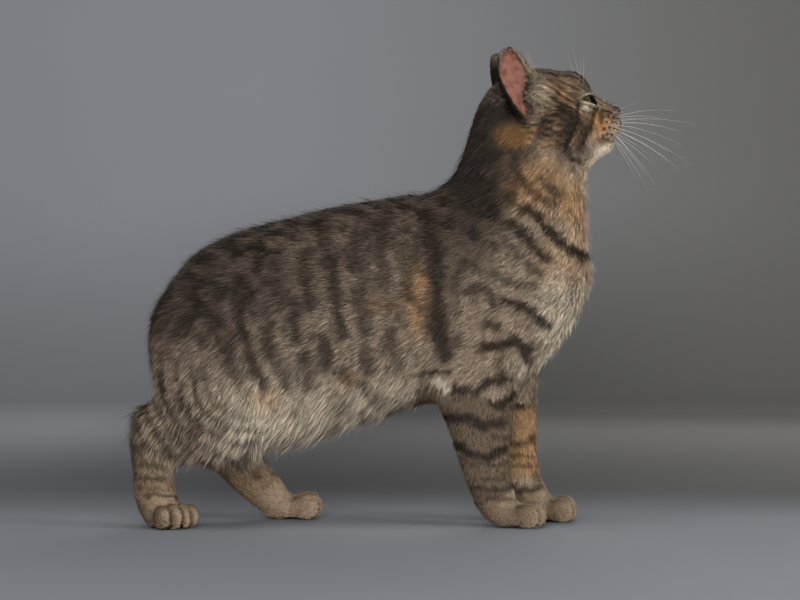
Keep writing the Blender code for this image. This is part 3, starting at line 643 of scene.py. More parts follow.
HEAD_STROKES = (
    (((129, 327), (126, 314), (122, 303), (118, 290)), 2.1, 1.0),
    (((119, 292), (121, 285), (130, 280)), 2.8, 0.85),
    (((117, 322), (116, 298)), 3.6, 0.4),
    (((140.5, 319), (139.5, 310), (135, 303), (131, 296)), 1.5, 0.7),
    (((143, 324), (150, 321), (158, 320)), 2.0, 0.85),
    (((147, 322), (147, 314)), 2.4, 0.7),
    (((111, 341), (112, 328)), 3.0, 0.35),
    (((124, 339), (134, 338)), 2.2, 0.5),
    (((88, 341), (101, 340)), 1.2, 0.5),
    (((90, 337), (100, 336)), 1.2, 0.5),
    (((92, 333), (99, 332)), 1.0, 0.4),
    (((131, 296), (127, 291)), 2.4, 0.35),
    (((131, 330), (136, 335.5)), 1.0, 0.8),
)
PAD_SPOTS = (
    (149, 316), (153, 317), (157, 315.5), (147, 311), (151.5, 312), (155.5, 311.5), (149, 306.5),
    (153, 307.5), (157, 307), (151.5, 302.5), (155, 303), (148, 301.5),
)
# Soft patches of darker ground, cream and ochre: (middle, radii, strength). The last dark patch is painted
# shade. In the pale and warm tables a middle to the cat's left, at a positive y, has a twin on the right.
GROUND_PATCHES = (
    ((64, 0, 268), (46, 90, 44), 0.45),
    ((44, 0, 222), (44, 110, 56), 0.22),
    ((110, 0, 310), (36, 90, 34), 0.5),
    ((108, 0, 190), (44, 60, 60), 0.16),
    ((70, 0, 328), (34, 90, 44), 0.6),
    ((137, 0, 308), (22, 90, 24), 0.2),
    ((108, 0, 334), (60, 90, 44), 0.42),
    ((124, 0, 296), (24, 90, 34), 0.3),
    ((76, 0, 300), (38, 90, 40), 0.5),
    ((50, 0, 290), (30, 60, 50), 0.45),
    # painted shade: the shaded inner thigh and belly where they meet in front of the hind leg
    ((-94, -30, 66), (13, 40, 12), 0.6),
)
PALE_PATCHES = (
    ((-118, 50, 76), (34, 60, 28), 0.9),
    ((135, 0, 262), (24, 30, 34), 1.0),
    ((138, 0, 196), (26, 40, 36), 0.75),
    ((112, 0, 144), (40, 44, 48), 1.0),
    ((78, -20, 122), (16, 24, 12), 0.7),
    ((22, -40, 104), (14, 30, 16), 0.8),
    ((148, 0, 289), (28, 26, 13), 1.0),
    ((138, 0, 278), (22, 26, 20), 1.0),
    ((98, 30, 326), (19, 18, 23), 0.8),
    ((133, 26, 322), (9, 9, 3.2), 0.8),
    ((138, 18, 335), (7, 8, 3.5), 0.6),
    ((153, 9, 307), (13, 12, 13), 1.0),
    ((136, 0, 300), (14, 40, 14), 0.5),
)
WARM_PATCHES = (
    ((6, 50, 176), (15, 40, 44), 0.5),
    ((118, 0, 246), (24, 50, 40), 0.7),
    ((112, 0, 205), (40, 60, 36), 0.55),
    ((-112, 0, 100), (22, 90, 18), 0.55),
    ((-48, 0, 116), (18, 90, 12), 0.45),
    ((77, 34, 300), (24, 26, 18), 1.0),
    ((108, 0, 312), (44, 60, 34), 0.9),
    ((142, 0, 310), (24, 40, 20), 0.8),
    ((112, 0, 330), (30, 60, 22), 0.6),
    ((92, 0, 262), (44, 90, 40), 0.5),
    ((-20, 0, 170), (30, 90, 14), 0.3),
)
RUST_PATCH = ((76, 34, 300), (20, 22, 15), 0.76)    # the red-brown place under each ear
# The haunch's fine stripes are arcs about one point.
HAUNCH_MIDDLE = (-120.0, 123.0)
HAUNCH_SPACING = 10.2
STROKE_CORE, STROKE_EDGE = 0.25, 1.7     # a stroke is full within, and gone beyond, these half widths
HAUNCH_FIRST = 88.0     # one of the arcs has this radius
FAR_SIDE_SHIFT = 4.0    # the far side's stripes stray from their drawn places by about this
# The wave lengths, in mm, of the fields that bend the stripes, blotch the ground and streak the head.
WOBBLE_SIZE, BROAD_SIZE, MOTTLE_SIZE, STREAK_SIZE = 9, 30, 16, 2.9
STREAK_STRENGTH = 0.17
CROWN_SPACING = 8.5     # the bars that run lengthways over the crown
CROWN_FROM = 336
# The back's height at even steps from the rump to the withers, and the x of its ends.
BACK_HEIGHTS = (205, 228, 243, 253, 256)
BACK_FROM, BACK_TO = -170, 30
# The rear edge of the pale front, as x at even steps up from the elbow to the throat.
FRONT_EDGE = (96, 90, 92, 100, 112, 116)
FRONT_LOW, FRONT_RISE = 110, 165
# These nodes and parts are darker than the rest by these shares.
DARKER = {
    "foreleg_right": 0.72, "hock_right": 0.5, "ear": 0.7, "forepaw": 0.46, "hindpaw": 0.28,
    "hock_left": 0.36, "foreleg_left": 0.36,
}


def stroke(places, points, half_width):
    """1 along a bent line and falling softly to 0 at its edge."""
    nearest = np.full(len(places), 1e9)
    for a, b in zip(points, points[1:]):
        a, way = np.array(a, float), np.subtract(b, a)
        share = np.clip((places - a) @ way / (way @ way), 0, 1)
        nearest = np.minimum(nearest, np.linalg.norm(places - a - share[:, None] * way, axis=1))
    return 1 - smooth_step(nearest, half_width * STROKE_CORE, half_width * STROKE_EDGE)


def drawn(places, strokes, widen=1.0, deepen=1.0):
    """The strongest of some strokes at each place."""
    dark = np.zeros(len(places))
    for points, half_width, strength in strokes:
        shade = min(strength * deepen, 1.0) * stroke(places, points, half_width * widen)
        dark = np.maximum(dark, shade)
    return dark


def patch(points, middle, radii):
    """1 in the middle of a soft round patch and 0 outside it."""
    return 1 - smooth_step(np.linalg.norm((points - middle) / np.asarray(radii, float), axis=1), 0.35, 1.0)


def both_sides(patches):
    """The patches, with a mirrored one for each whose middle lies to the cat's left."""
    for (x, y, z), radii, strength in patches:
        yield (x, y, z), radii, strength
        if y > 0:
            yield (x, -y, z), radii, strength


def markings(points, owners):
    """The tabby's dark, pale and warm shares at each point, on both sides of the body."""
    x, y, z = points.T
    wobble = np.stack([waves(points, WOBBLE_SIZE, 3), waves(points, WOBBLE_SIZE, 4)], axis=1)
    broad = np.stack([waves(points, BROAD_SIZE, 5), waves(points, BROAD_SIZE, 6)], axis=1)
    broad = broad * np.where(y > 0, FAR_SIDE_SHIFT, 1.0)[:, None]
    side = np.stack([x, z], axis=1) + wobble
    body = side + broad
    parts = np.array([part_name(node) for node in FLESH] + ["ear"])[owners]
    nodes = np.array(FLESH + ["ear"])[owners]
    head = np.isin(parts, ("head", "muzzle", "jaw"))
    trunk = np.isin(parts, ("chest", "belly", "rump", "shoulder", "thigh", "neck"))
    far_leg = np.isin(nodes, ("foreleg_left", "forepaw_left"))

    haunch = np.linalg.norm(body - HAUNCH_MIDDLE, axis=1)
    arcs = 0.5 + 0.5 * np.cos(2 * math.pi * (haunch - HAUNCH_FIRST) / HAUNCH_SPACING)
    arcs = smooth_step(arcs, 0.35, 0.85) * smooth_step(haunch, 30, 42) * (x < -118)
    arcs *= (1 - smooth_step(z, 112, 132)) * smooth_step(z, 50, 60)
    dark = 0.85 * arcs * np.isin(parts, ("thigh", "rump", "hock"))
    dark = np.maximum(dark, drawn(body, FLANK_STROKES, 1.3, 1.05) * trunk)
    dark = np.maximum(dark, drawn(side, FRONT_STROKES, 1.15, 1.3) * ~(head | far_leg))
    dark = np.maximum(dark, drawn(side, FAR_FORELEG_STROKES, 1.1, 1.1) * far_leg)
    dark = np.maximum(dark, drawn(side, HIND_STROKES, 1.2, 1.1) * (x < -60))
    dark = np.maximum(dark, drawn(side, NECK_STROKES, 1.3, 1.2) * (1 - smooth_step(z, 278, 300)))
    dark = np.maximum(dark, drawn(side - 0.5 * wobble, HEAD_STROKES) * (head & (np.abs(y) > 8)))
    for spot in PAD_SPOTS:
        near = np.linalg.norm(np.stack([x, z], axis=1) - spot, axis=1)
        dark = np.maximum(dark, 0.85 * (1 - smooth_step(near, 0.7, 1.5)) * (np.abs(y) > 4) * head)
    crown = head & (z > CROWN_FROM)
    bars = 0.5 + 0.5 * np.cos(2 * math.pi * (y + 0.8 * wobble[:, 0]) / CROWN_SPACING)
    bars = 0.8 * smooth_step(bars, 0.45, 0.8) * smooth_step(z, CROWN_FROM + 2, CROWN_FROM + 10)
    dark = np.where(crown, np.maximum(dark, bars), dark)
    # The back is darkest along the spine.
    back = path_through([(h,) for h in BACK_HEIGHTS], smooth_step(x, BACK_FROM, BACK_TO))[:, 0]
    spine = smooth_step(z, back - 34, back - 6) * (1 - smooth_step(x, 20, 62)) * (x > -190) * trunk
    mottle = 0.5 + 0.5 * waves(points, MOTTLE_SIZE, 8)
    upper = 0.25 * smooth_step(z, 95, 140) + 0.75 * smooth_step(z, back - 100, back - 10)
    upper = upper * (1 - smooth_step(x, 48, 100)) * trunk
    upper *= 1 - 0.9 * smooth_step(z, 246, 284)
    ground = np.maximum(0.70 * upper, spine * (0.76 + 0.16 * mottle))
    ground = ground + 0.25 * smooth_step(mottle, 0.42, 0.95) * (trunk | head)
    rear = (1 - smooth_step(x, -90, 40)) * smooth_step(z, 40, 100) * (1 - smooth_step(z, 175, 215))
    ground = ground + 0.2 * rear * trunk
    # Short fine streaks lie along the hair of the head.
    ground = ground + STREAK_STRENGTH * waves(points * (0.3, 1, 1), STREAK_SIZE, 12) * head
    ground = ground + sum(
        strength * patch(points, middle, radii) for middle, radii, strength in GROUND_PATCHES
    )
    for name, shade in DARKER.items():
        ground = ground + shade * ((nodes == name) | (parts == name))
    dark = 1 - (1 - dark * 0.94) * (1 - np.clip(ground, 0, 1))

    pale = 0.75 * (1 - smooth_step(z + 6 * wobble[:, 0], 80, 132)) * np.isin(parts, TRUNK)
    pale *= smooth_step(x, -168, -112)
    edge = path_through([(x_edge,) for x_edge in FRONT_EDGE], (z - FRONT_LOW) / FRONT_RISE)[:, 0]
    front = smooth_step(x + 5 * wobble[:, 1], edge - 6, edge + 24)
    front *= smooth_step(z, 98, 112) * (1 - smooth_step(z, 264, 292))
    pale = np.maximum(pale, 0.85 * front)
    for middle, radii, strength in both_sides(PALE_PATCHES):
        pale = np.maximum(pale, strength * patch(points, middle, radii))
    shut = np.where(y > 0, opening_share(points, 1)[0], opening_share(points, -1)[0])
    ring = smooth_step(shut, 1.0, 1.2) * (1 - smooth_step(shut, 1.25, 1.7)) * smooth_step(x, 124, 136)
    pale = np.maximum(pale, 0.6 * ring)
    dark = dark * (1 - 0.5 * ring)
    leg = np.isin(parts, ("foreleg", "forepaw", "hock", "hindpaw"))
    pale = np.maximum(pale, 0.30 * leg + 0.12 * np.isin(parts, ("forepaw", "hindpaw")))

    warm = 0.26 * leg
    warm = np.maximum(warm, 0.72 * (nodes == "foreleg_left") * smooth_step(z, 24, 44))
    warm = np.maximum(warm, 0.42 * (nodes == "hock_left") + 0.3 * (nodes == "hindpaw_left"))
    pale = np.maximum(pale, 0.5 * np.isin(nodes, ("hock_left", "hindpaw_left", "foreleg_left")))
    warm = np.maximum(warm, 0.45 * front * smooth_step(z, 196, 226))
    for middle, radii, strength in both_sides(WARM_PATCHES):
        warm = np.maximum(warm, strength * patch(points, middle, radii))
    rust = np.max([patch(points, middle, radii) for middle, radii, _ in both_sides([RUST_PATCH])], axis=0)
    dark = dark * (1 - rust) + RUST_PATCH[2] * rust
    warm = np.maximum(warm, rust)
    return np.clip(np.stack([dark, pale, warm], axis=1), 0, 1)


# Ears, lids, nose: surfaces of two parameters, joined to the skin or set on it.


def outward(points, triangles):
    """The triangles, turned where their closed surface is inside out, as its signed volume tells."""
    a, b, c = (points[triangles[:, i]] for i in range(3))
    return triangles if np.einsum("ij,ij->i", a, np.cross(b, c)).sum() > 0 else triangles[:, ::-1]


def halves(quads):
    """Two triangles for each face of four corners."""
    return np.concatenate([quads[:, [0, 1, 2]], quads[:, [0, 2, 3]]])


def capped(grid):
    """Points and outward triangles of a closed tube of rings, its two ends drawn to a point."""
    rows, columns = grid.shape[:2]
    points = np.concatenate([grid.reshape(-1, 3), [grid[0].mean(0)], [grid[-1].mean(0)]])
    ring = np.arange(columns)
    after = np.roll(ring, -1)
    first, last = rows * columns, rows * columns + 1
    triangles = np.concatenate([
        halves(grid_faces(rows, columns)),
        np.stack([after, ring, np.full(columns, first)], 1),
        np.stack([ring, after, np.full(columns, last)], 1) + [(rows - 1) * columns, (rows - 1) * columns, 0],
    ])
    return points, outward(points - points.mean(0), triangles)


def ear_shell(side):
    """A cupped shell between the ear's margins: each row bows back from a straight line by a sine."""
    rows, columns = 44, 31
    along = np.linspace(0, 1, rows)
    outer, inner = path_through(EAR_OUTER, along), path_through(EAR_INNER, along)
    across = np.linspace(0, 1, columns)
    depth = EAR_DEPTH * np.sin(math.pi * np.minimum(1, 0.22 + along * 0.78)) ** 0.7
    bow = np.sin(math.pi * across) ** 0.8
    middle = mixed(outer[:, None], inner[:, None], across[None, :, None])
    middle = middle - unit(EAR_OPENS) * (depth[:, None] * bow)[:, :, None]
    middle[:, :, 0] -= EAR_SWEEP[side] * along[:, None] ** 2
    # Low folds run up the cup, deepest near its foot.
    facing = unit(np.cross(np.gradient(middle, axis=0), np.gradient(middle, axis=1)))
    facing *= np.sign(facing[rows // 2, columns // 2] @ EAR_OPENS)
    folds = 0.55 * np.sin(across * 17 + 3 * along[:, None]) * bow * (1 - along[:, None]) ** 1.2
    middle = middle + facing * folds[:, :, None]
    wall = EAR_WALL * np.sin(math.pi * across) ** 0.25 * (1 - 0.45 * along[:, None])
    front = middle + facing * (wall / 2)[:, :, None]
    back = middle - facing * (wall / 2)[:, :, None]
    rings = np.concatenate([front, back[:, -2:0:-1]], axis=1)
    inside = np.zeros(rings.shape[:2])
    inside[:, 1:columns - 1] = 1
    rings[:, :, 1] *= side
    points, triangles = capped(rings)
    margin = np.minimum(across, 1 - across)
    margin = np.concatenate([margin, margin[-2:0:-1]])
    margin = np.broadcast_to(margin, inside.shape)
    return points, triangles, np.append(inside.ravel(), (0, 0)), np.append(margin.ravel(), (0.5, 0.0))


# The lids' rows: how far each is widened from the opening, and how far it lies over the eyeball.
LID_PROFILE = (
    (0.90, -1.2), (0.97, -0.1), (0.99, 0.6), (1.03, 1.15), (1.10, 1.45),
    (1.22, 1.6), (1.42, 1.62), (1.7, 1.2), (2.0, 0.1),
)
LID_RIM = (1, 1, 1, 0.85, 0.3, 0, 0, 0, 0)    # how dark and bare each row is


def lid_ring(side):
    """The lids: a ring whose rows widen from the eyeball over the rim and down into the skin."""
    angles = np.linspace(0, 2 * math.pi, 72, endpoint=False)
    across, up = opening(angles, side)
    rows = []
    for widen, lift in LID_PROFILE:
        radius = EYE_RADIUS + lift
        y, z = across * widen, up * widen
        ahead = np.sqrt(np.maximum(radius ** 2 - y ** 2 - z ** 2, (0.30 * radius) ** 2))
        rows.append(np.stack([ahead, y, z], axis=1))
    points = np.concatenate(rows) @ gaze_axes(side) + eye_centre(side)
    triangles = halves(grid_faces(len(rows), len(angles)))
    normals = normals_of(points, triangles)
    if ((points - eye_centre(side)) * normals).sum() < 0:
        triangles = triangles[:, ::-1]
    rim = np.repeat(LID_RIM, len(angles))
    return points, triangles, rim


def ball_grid(polar, turn):
    """Points of a ball of radius 1 by their angle from its front pole and their turn about it."""
    out = np.sin(polar)
    return np.stack([np.cos(polar) + 0 * turn, out * np.cos(turn), out * np.sin(turn)], axis=-1)


def eyeball(side):
    """A ball about the gaze, with the cornea's low dome; stores the iris's polar place for its material."""
    rows, columns = 56, 64
    polar = np.linspace(0.012, math.pi, rows)[:, None]
    turn = np.linspace(0, 2 * math.pi, columns, endpoint=False)[None, :]
    radius = EYE_RADIUS + CORNEA_RISE * (1 - smooth_step(polar, *CORNEA_EDGE))
    points, triangles = capped(ball_grid(polar, turn) * radius[:, :, None])
    way = unit(points)
    around = np.arctan2(way[:, 2], way[:, 1]) / (2 * math.pi) + 0.5
    iris = np.arccos(np.clip(way[:, 0], -1, 1)) / IRIS_ANGLE
    pupil = np.hypot(way[:, 1] / PUPIL_WIDTH, way[:, 2] / PUPIL_HEIGHT) + FAR_OUT * (way[:, 0] < 0)
    placed = points @ gaze_axes(side) + eye_centre(side)
    made = mesh_object("eye_" + ("left" if side > 0 else "right"), placed, triangles, wet_eye())
    iris, pupil = np.minimum(iris, 3), np.minimum(pupil, FAR_OUT)
    colours_to(made.data, "iris", np.stack([iris, pupil, around], axis=1))
    return made


NOSE_PLACE = np.array((17.4, 0.0, -12.4))
NOSE_RADII = np.array((5.4, 6.7, 5.0))
NOSE_PINCH = 0.55
NOSTRIL = (((4.6, 2.7, -1.5), 1.15), ((3.7, 4.0, -1.3), 0.95), ((2.6, 4.9, -0.8), 0.8))
PIT_DEPTH, NOSE_GROOVE = 2.0, 0.55


def nose_leather():
    """A pinched ellipsoid, narrow below, with two comma-shaped nostrils and a groove between them."""
    rows, columns = 70, 90
    polar = np.linspace(0.02, math.pi, rows)[:, None]
    turn = np.linspace(0, 2 * math.pi, columns, endpoint=False)[None, :]
    points, triangles = capped(ball_grid(polar, turn))
    local = points * NOSE_RADII
    local[:, 1] *= 1 - NOSE_PINCH * smooth_step(-points[:, 2], -0.2, 1.0)
    pits = np.zeros(len(local))
    for middle, reach in NOSTRIL:
        away = np.linalg.norm((np.abs(local) * (1, 1, 0) + local * (0, 0, 1) - middle), axis=1)
        pits = np.maximum(pits, np.exp(-((away / reach) ** 2)) * (local[:, 0] > 0))
    groove = np.exp(-((local[:, 1] / 0.45) ** 2)) * smooth_step(-local[:, 2], -1.0, 1.5) * (local[:, 0] > 0)
    local = local - unit(points) * (PIT_DEPTH * pits + NOSE_GROOVE * groove)[:, None]
    made = mesh_object("nose_leather", from_head(local + NOSE_PLACE), triangles, nose_skin())
    colours_to(made.data, "pits", np.stack([pits, groove, pits], axis=1))
    return made


def tubes(paths, radii, sides=6):
    """Points and triangles of many tapered hairs; paths is (hair, step, 3) and radii (hair, step)."""
    hairs = len(paths)
    ahead = unit(np.gradient(paths, axis=1))
    across = unit(np.cross(ahead, (0.1, 0.2, 1.0)))
    over = np.cross(across, ahead)
    turn = np.linspace(0, 2 * math.pi, sides, endpoint=False)
    rings = paths[:, :, None] + radii[:, :, None, None] * (
        across[:, :, None] * np.cos(turn)[:, None] + over[:, :, None] * np.sin(turn)[:, None]
    )
    points, triangles = zip(*(capped(ring) for ring in rings))
    starts = np.arange(hairs)[:, None, None] * len(points[0])
    return np.concatenate(points), (np.stack(triangles) + starts).reshape(-1, 3)


# Whiskers: roots in the head's frame, and how far each tip lies from it (ahead, out, up) in the model's.
WHISKERS = (
    ((16, 11, -18), (44, 34, 3)),
    ((16, 12, -21), (60, 36, -5)),
    ((15, 13, -25), (57, 30, -31)),
    ((11, 15, -26), (44, 38, -28)),
    ((13, 12, -29), (32, 22, -42)),
    ((8, 16, -27), (33, 42, -24)),
    ((11, 15, -21), (30, 48, -3)),
    ((12, 13, -17), (18, 34, 8)),
    ((7, 16.5, -23), (14, 52, -11)),
    ((14, 13, -23), (50, 34, -18)),
    ((12, 13, -28), (24, 26, -34)),
)
BROW_WHISKERS = (
    ((-6, 17, 11), (-8, 12, 28)),
    ((-4, 15, 11), (0, 9, 24)),
)
WHISKER_DROOP = 0.10
WHISKER_RADIUS, BROW_RADIUS = 0.13, 0.07


def whisker_hairs(rows, root_radius, steps=14):
    """Hairs on both sides that run from root to tip in a low arc and thin to a point."""
    paths, radii = [], []
    share = np.linspace(-0.06, 1, steps)[:, None]
    for side in (1, -1):
        for root, way in rows:
            start = from_head(np.array(root) * (1, side, 1) * (0.96, 0.92, 1))
            way = np.array(way, float) * (1, side, 1)
            length = np.linalg.norm(way)
            arc = WHISKER_DROOP * length * 4 * share * (1 - share) * np.array((0, 0, 0.5))
            paths.append(start + way * share + arc)
            radii.append(root_radius * (1 - 0.85 * np.clip(share[:, 0], 0, 1)))
    return tubes(np.array(paths), np.array(radii))


# Materials.


def add(tree, kind, inputs=(), **settings):
    """Adds a node with its settings; each input is a value or a socket to link from."""
    made = tree.nodes.new(kind)
    for key, value in settings.items():
        setattr(made, key, value)
    for key, value in dict(inputs).items():
        if isinstance(value, bpy.types.NodeSocket):
            tree.links.new(value, made.inputs[key])
        else:
            made.inputs[key].default_value = value
    return made


def finish(name, roughness, specular=0.3, **more):
    """A material of one Principled shader; more holds its other fixed values by name."""
    material = bpy.data.materials.new(name)
    material.use_nodes = True
    shader = material.node_tree.nodes["Principled BSDF"]
    for key, value in {"Roughness": roughness, "Specular IOR Level": specular, **more}.items():
        shader.inputs[key].default_value = value
    return material, material.node_tree, shader


def blend(tree, share, first, second):
    """The colour that far from the first to the second."""
    first, second = ((*linear(c), 1) if isinstance(c, str) else c for c in (first, second))
    made = add(tree, "ShaderNodeMix", {0: share, 6: first, 7: second}, data_type="RGBA")
    return made.outputs[2]


def shaped(tree, value, low, high, start, end):
    """A value's range low to high, carried over to start to end and held there beyond."""
    ends = {0: value, 1: low, 2: high, 3: start, 4: end}
    return add(tree, "ShaderNodeMapRange", ends, interpolation_type="SMOOTHSTEP").outputs[0]


def scaled(tree, colour, share):
    """A colour made darker or lighter by a share."""
    return add(tree, "ShaderNodeVectorMath", {0: colour, "Scale": share}, operation="SCALE").outputs[0]


def clouds(tree, scale, detail=2.0):
    """The place on the model in metres, and a soft noise there of so many waves a metre."""
    place = add(tree, "ShaderNodeTexCoord").outputs["Object"]
    noise = add(tree, "ShaderNodeTexNoise", {"Vector": place, "Scale": scale, "Detail": detail})
    return place, noise.outputs[0]


def worked(tree, operation, first, second):
    """One sum of two numbers."""
    return add(tree, "ShaderNodeMath", {0: first, 1: second}, operation=operation).outputs[0]


def channels(tree, name):
    """The three numbers of a colour attribute."""
    stored = add(tree, "ShaderNodeAttribute", attribute_name=name)
    return add(tree, "ShaderNodeSeparateColor", {0: stored.outputs["Color"]}).outputs


AGOUTI = "8d7a67"       # grey-brown, each hair banded
CREAM = "d9cbb4"
OCHRE = "bb8446"
NEAR_BLACK = "21180f"
PINK = "815849"
VEIN = "5f3c35"
GLOW = "c2542a"         # light shining through the foot of the ear
# near black of lips, lids and soles, also painted as shade in the clefts between the toes
DARK_SKIN_AND_CLEFT_SHADE = "2a1c18"


def coat_colour(tree):
    """Banded hair of a brown tabby: grey-brown ground, cream and ochre places, near-black bars."""
    dark, pale, warm = channels(tree, "coat")[:3]
    ground = blend(tree, pale, AGOUTI, CREAM)
    ground = blend(tree, warm, ground, OCHRE)
    return blend(tree, dark, ground, NEAR_BLACK)


def hair(name):
    """Hair: a dry, softly shining shaft. Each tuft has its own tone and darkens towards its root, partly as
    the hair's own darker base and partly as painted shade deep in the coat, and some have black tips.
    """
    material, tree, shader = finish(name, 0.62, 0.22)
    along, tone, tick = channels(tree, "strand")[:3]
    colour = coat_colour(tree)
    outer = shaped(tree, along, 0.2, 1.0, 0.0, 1.0)
    dark = channels(tree, "coat")[0]
    ticked, clear = shaped(tree, tick, 0.30, 0.10, 0.0, 0.45), shaped(tree, dark, 0.2, 0.8, 1.0, 0.12)
    banded = worked(tree, "MULTIPLY", ticked, clear)
    banded = worked(tree, "MULTIPLY", outer, banded)
    tipped = worked(tree, "MULTIPLY", outer, shaped(tree, tick, 0.60, 0.90, 0.0, 0.65))
    colour = blend(tree, banded, colour, CREAM)
    colour = blend(tree, tipped, colour, NEAR_BLACK)
    # foot darkens each blade towards its root, partly the hair's own darker base and partly painted shade
    # deep in the coat; own is each tuft's random tone, and light is the two multiplied
    foot, own = shaped(tree, along, 0.0, 0.6, 0.45, 1.0), shaped(tree, tone, 0.0, 1.0, 0.62, 1.35)
    light = worked(tree, "MULTIPLY", foot, own)
    tree.links.new(scaled(tree, colour, light), shader.inputs["Base Color"])
    return material


def skin_under_hair():
    """Skin: matt, its coat colour darkened as painted shade of the coat over it, pink and soft where bare,
    near black at lids and lips, and painted dark as shade in the clefts between the toes.
    """
    material, tree, shader = finish("skin_under_hair", 0.7, 0.2)
    pink, rim, glow = channels(tree, "bare")[:3]
    colour = coat_colour(tree)
    grain = clouds(tree, 900.0, 3.0)[1]
    # painted shade: the coat's colour darkened for the shadow of the hair over the skin
    shade = scaled(tree, colour, shaped(tree, grain, 0.3, 0.7, 0.35, 0.62))
    veins = clouds(tree, 160.0, 5.0)[1]
    bare = blend(tree, shaped(tree, veins, 0.35, 0.7, 0.0, 1.0), PINK, VEIN)
    bare = blend(tree, glow, bare, GLOW)
    colour = blend(tree, pink, shade, bare)
    colour = blend(tree, rim, colour, DARK_SKIN_AND_CLEFT_SHADE)
    bump = add(tree, "ShaderNodeBump", {"Strength": 0.25, "Distance": 0.0006, "Height": grain})
    tree.links.new(colour, shader.inputs["Base Color"])
    tree.links.new(bump.outputs[0], shader.inputs["Normal"])
    return material


def wet_eye():
    """Cornea over an iris: a wet coat, a ring of fine fibres and a tall black pupil; the golden green iris
    is painted dark olive as shade over the eye.
    """
    wet = {"Coat Weight": 0.15, "Coat Roughness": 0.06, "IOR": 1.38}
    material, tree, shader = finish("wet_eye", 0.22, 0.2, **wet)
    radial, pupil, around = channels(tree, "iris")[:3]
    across, out = worked(tree, "MULTIPLY", around, 60.0), worked(tree, "MULTIPLY", radial, 2.0)
    polar = add(tree, "ShaderNodeCombineXYZ", {0: across, 1: out}).outputs[0]
    fibres = add(tree, "ShaderNodeTexNoise", {"Vector": polar, "Scale": 1.6, "Detail": 4.0}).outputs[0]
    # painted shade: the iris is coloured dark olive for the shade that lies over the eye
    iris = blend(tree, shaped(tree, fibres, 0.35, 0.65, 0.0, 1.0), "2c2813", "463f1f")
    iris = blend(tree, shaped(tree, radial, 0.45, 0.95, 0.0, 1.0), iris, "1c1a0e")
    iris = blend(tree, shaped(tree, radial, 0.97, 1.06, 0.0, 1.0), iris, "0d0a08")
    iris = blend(tree, shaped(tree, radial, 1.10, 1.25, 0.0, 1.0), iris, "2a211b")
    colour = blend(tree, shaped(tree, pupil, 0.92, 1.05, 1.0, 0.0), iris, "030303")
    tree.links.new(colour, shader.inputs["Base Color"])
    return material


def nose_skin():
    """Nose leather: damp, finely pebbled brown-black skin, darkest in the nostrils, where near black is
    painted as the shade inside them.
    """
    material, tree, shader = finish("nose_skin", 0.5, 0.35, **{"Coat Weight": 0.12, "Coat Roughness": 0.35})
    pits = channels(tree, "pits")[0]
    place = add(tree, "ShaderNodeTexCoord").outputs["Object"]
    pebbles = add(tree, "ShaderNodeTexVoronoi", {"Vector": place, "Scale": 1900.0}).outputs["Distance"]
    colour = blend(tree, shaped(tree, pebbles, 0.1, 0.6, 0.0, 1.0), "3d2822", "2a1a16")
    # painted shade: near black in the nostrils for the shade inside the openings
    colour = blend(tree, shaped(tree, pits, 0.25, 0.7, 0.0, 1.0), colour, "0b0706")
    bump = add(tree, "ShaderNodeBump", {"Strength": 0.5, "Distance": 0.0003, "Height": pebbles}, invert=True)
    tree.links.new(colour, shader.inputs["Base Color"])
    tree.links.new(bump.outputs[0], shader.inputs["Normal"])
    return material


def whisker_horn():
    """Whiskers: stiff, smooth, white keratin with a faint gloss."""
    material, tree, shader = finish("whisker_horn", 0.35, 0.5)
    cloud = clouds(tree, 120.0)[1]
    tree.links.new(blend(tree, cloud, "d8d5ce", "bdb8ae"), shader.inputs["Base Color"])
    return material


def pale_hair():
    """The long hairs of the ears: soft cream, with a faint gloss and darker and lighter hairs."""
    material, tree, shader = finish("pale_hair", 0.6, 0.25)
    share = shaped(tree, clouds(tree, 300.0)[1], 0.35, 0.65, 0.0, 1.0)
    tree.links.new(blend(tree, share, "7d6b56", "b5a488"), shader.inputs["Base Color"])
    return material


# The coat.


# A blade's spread of sizes, as shares; how its way strays; and how far it runs to its bend and tip.
LENGTH_SPREAD, HEIGHT_SPREAD, WIDTH_SPREAD = (0.72, 1.22), (0.55, 1.25), (0.7, 1.2)
LIE_SCATTER, LIE_SWIRL, SWIRL_SIZE, ROLL_SCATTER = 0.10, 0.14, 24, 0.32
BEND_AT, BEND_HEIGHT, BEND_LEAN, TIP_AT = 0.42, 0.66, 0.35, 0.94
FOOT_SINK = 0.25
FLOOR_GAP = 0.15


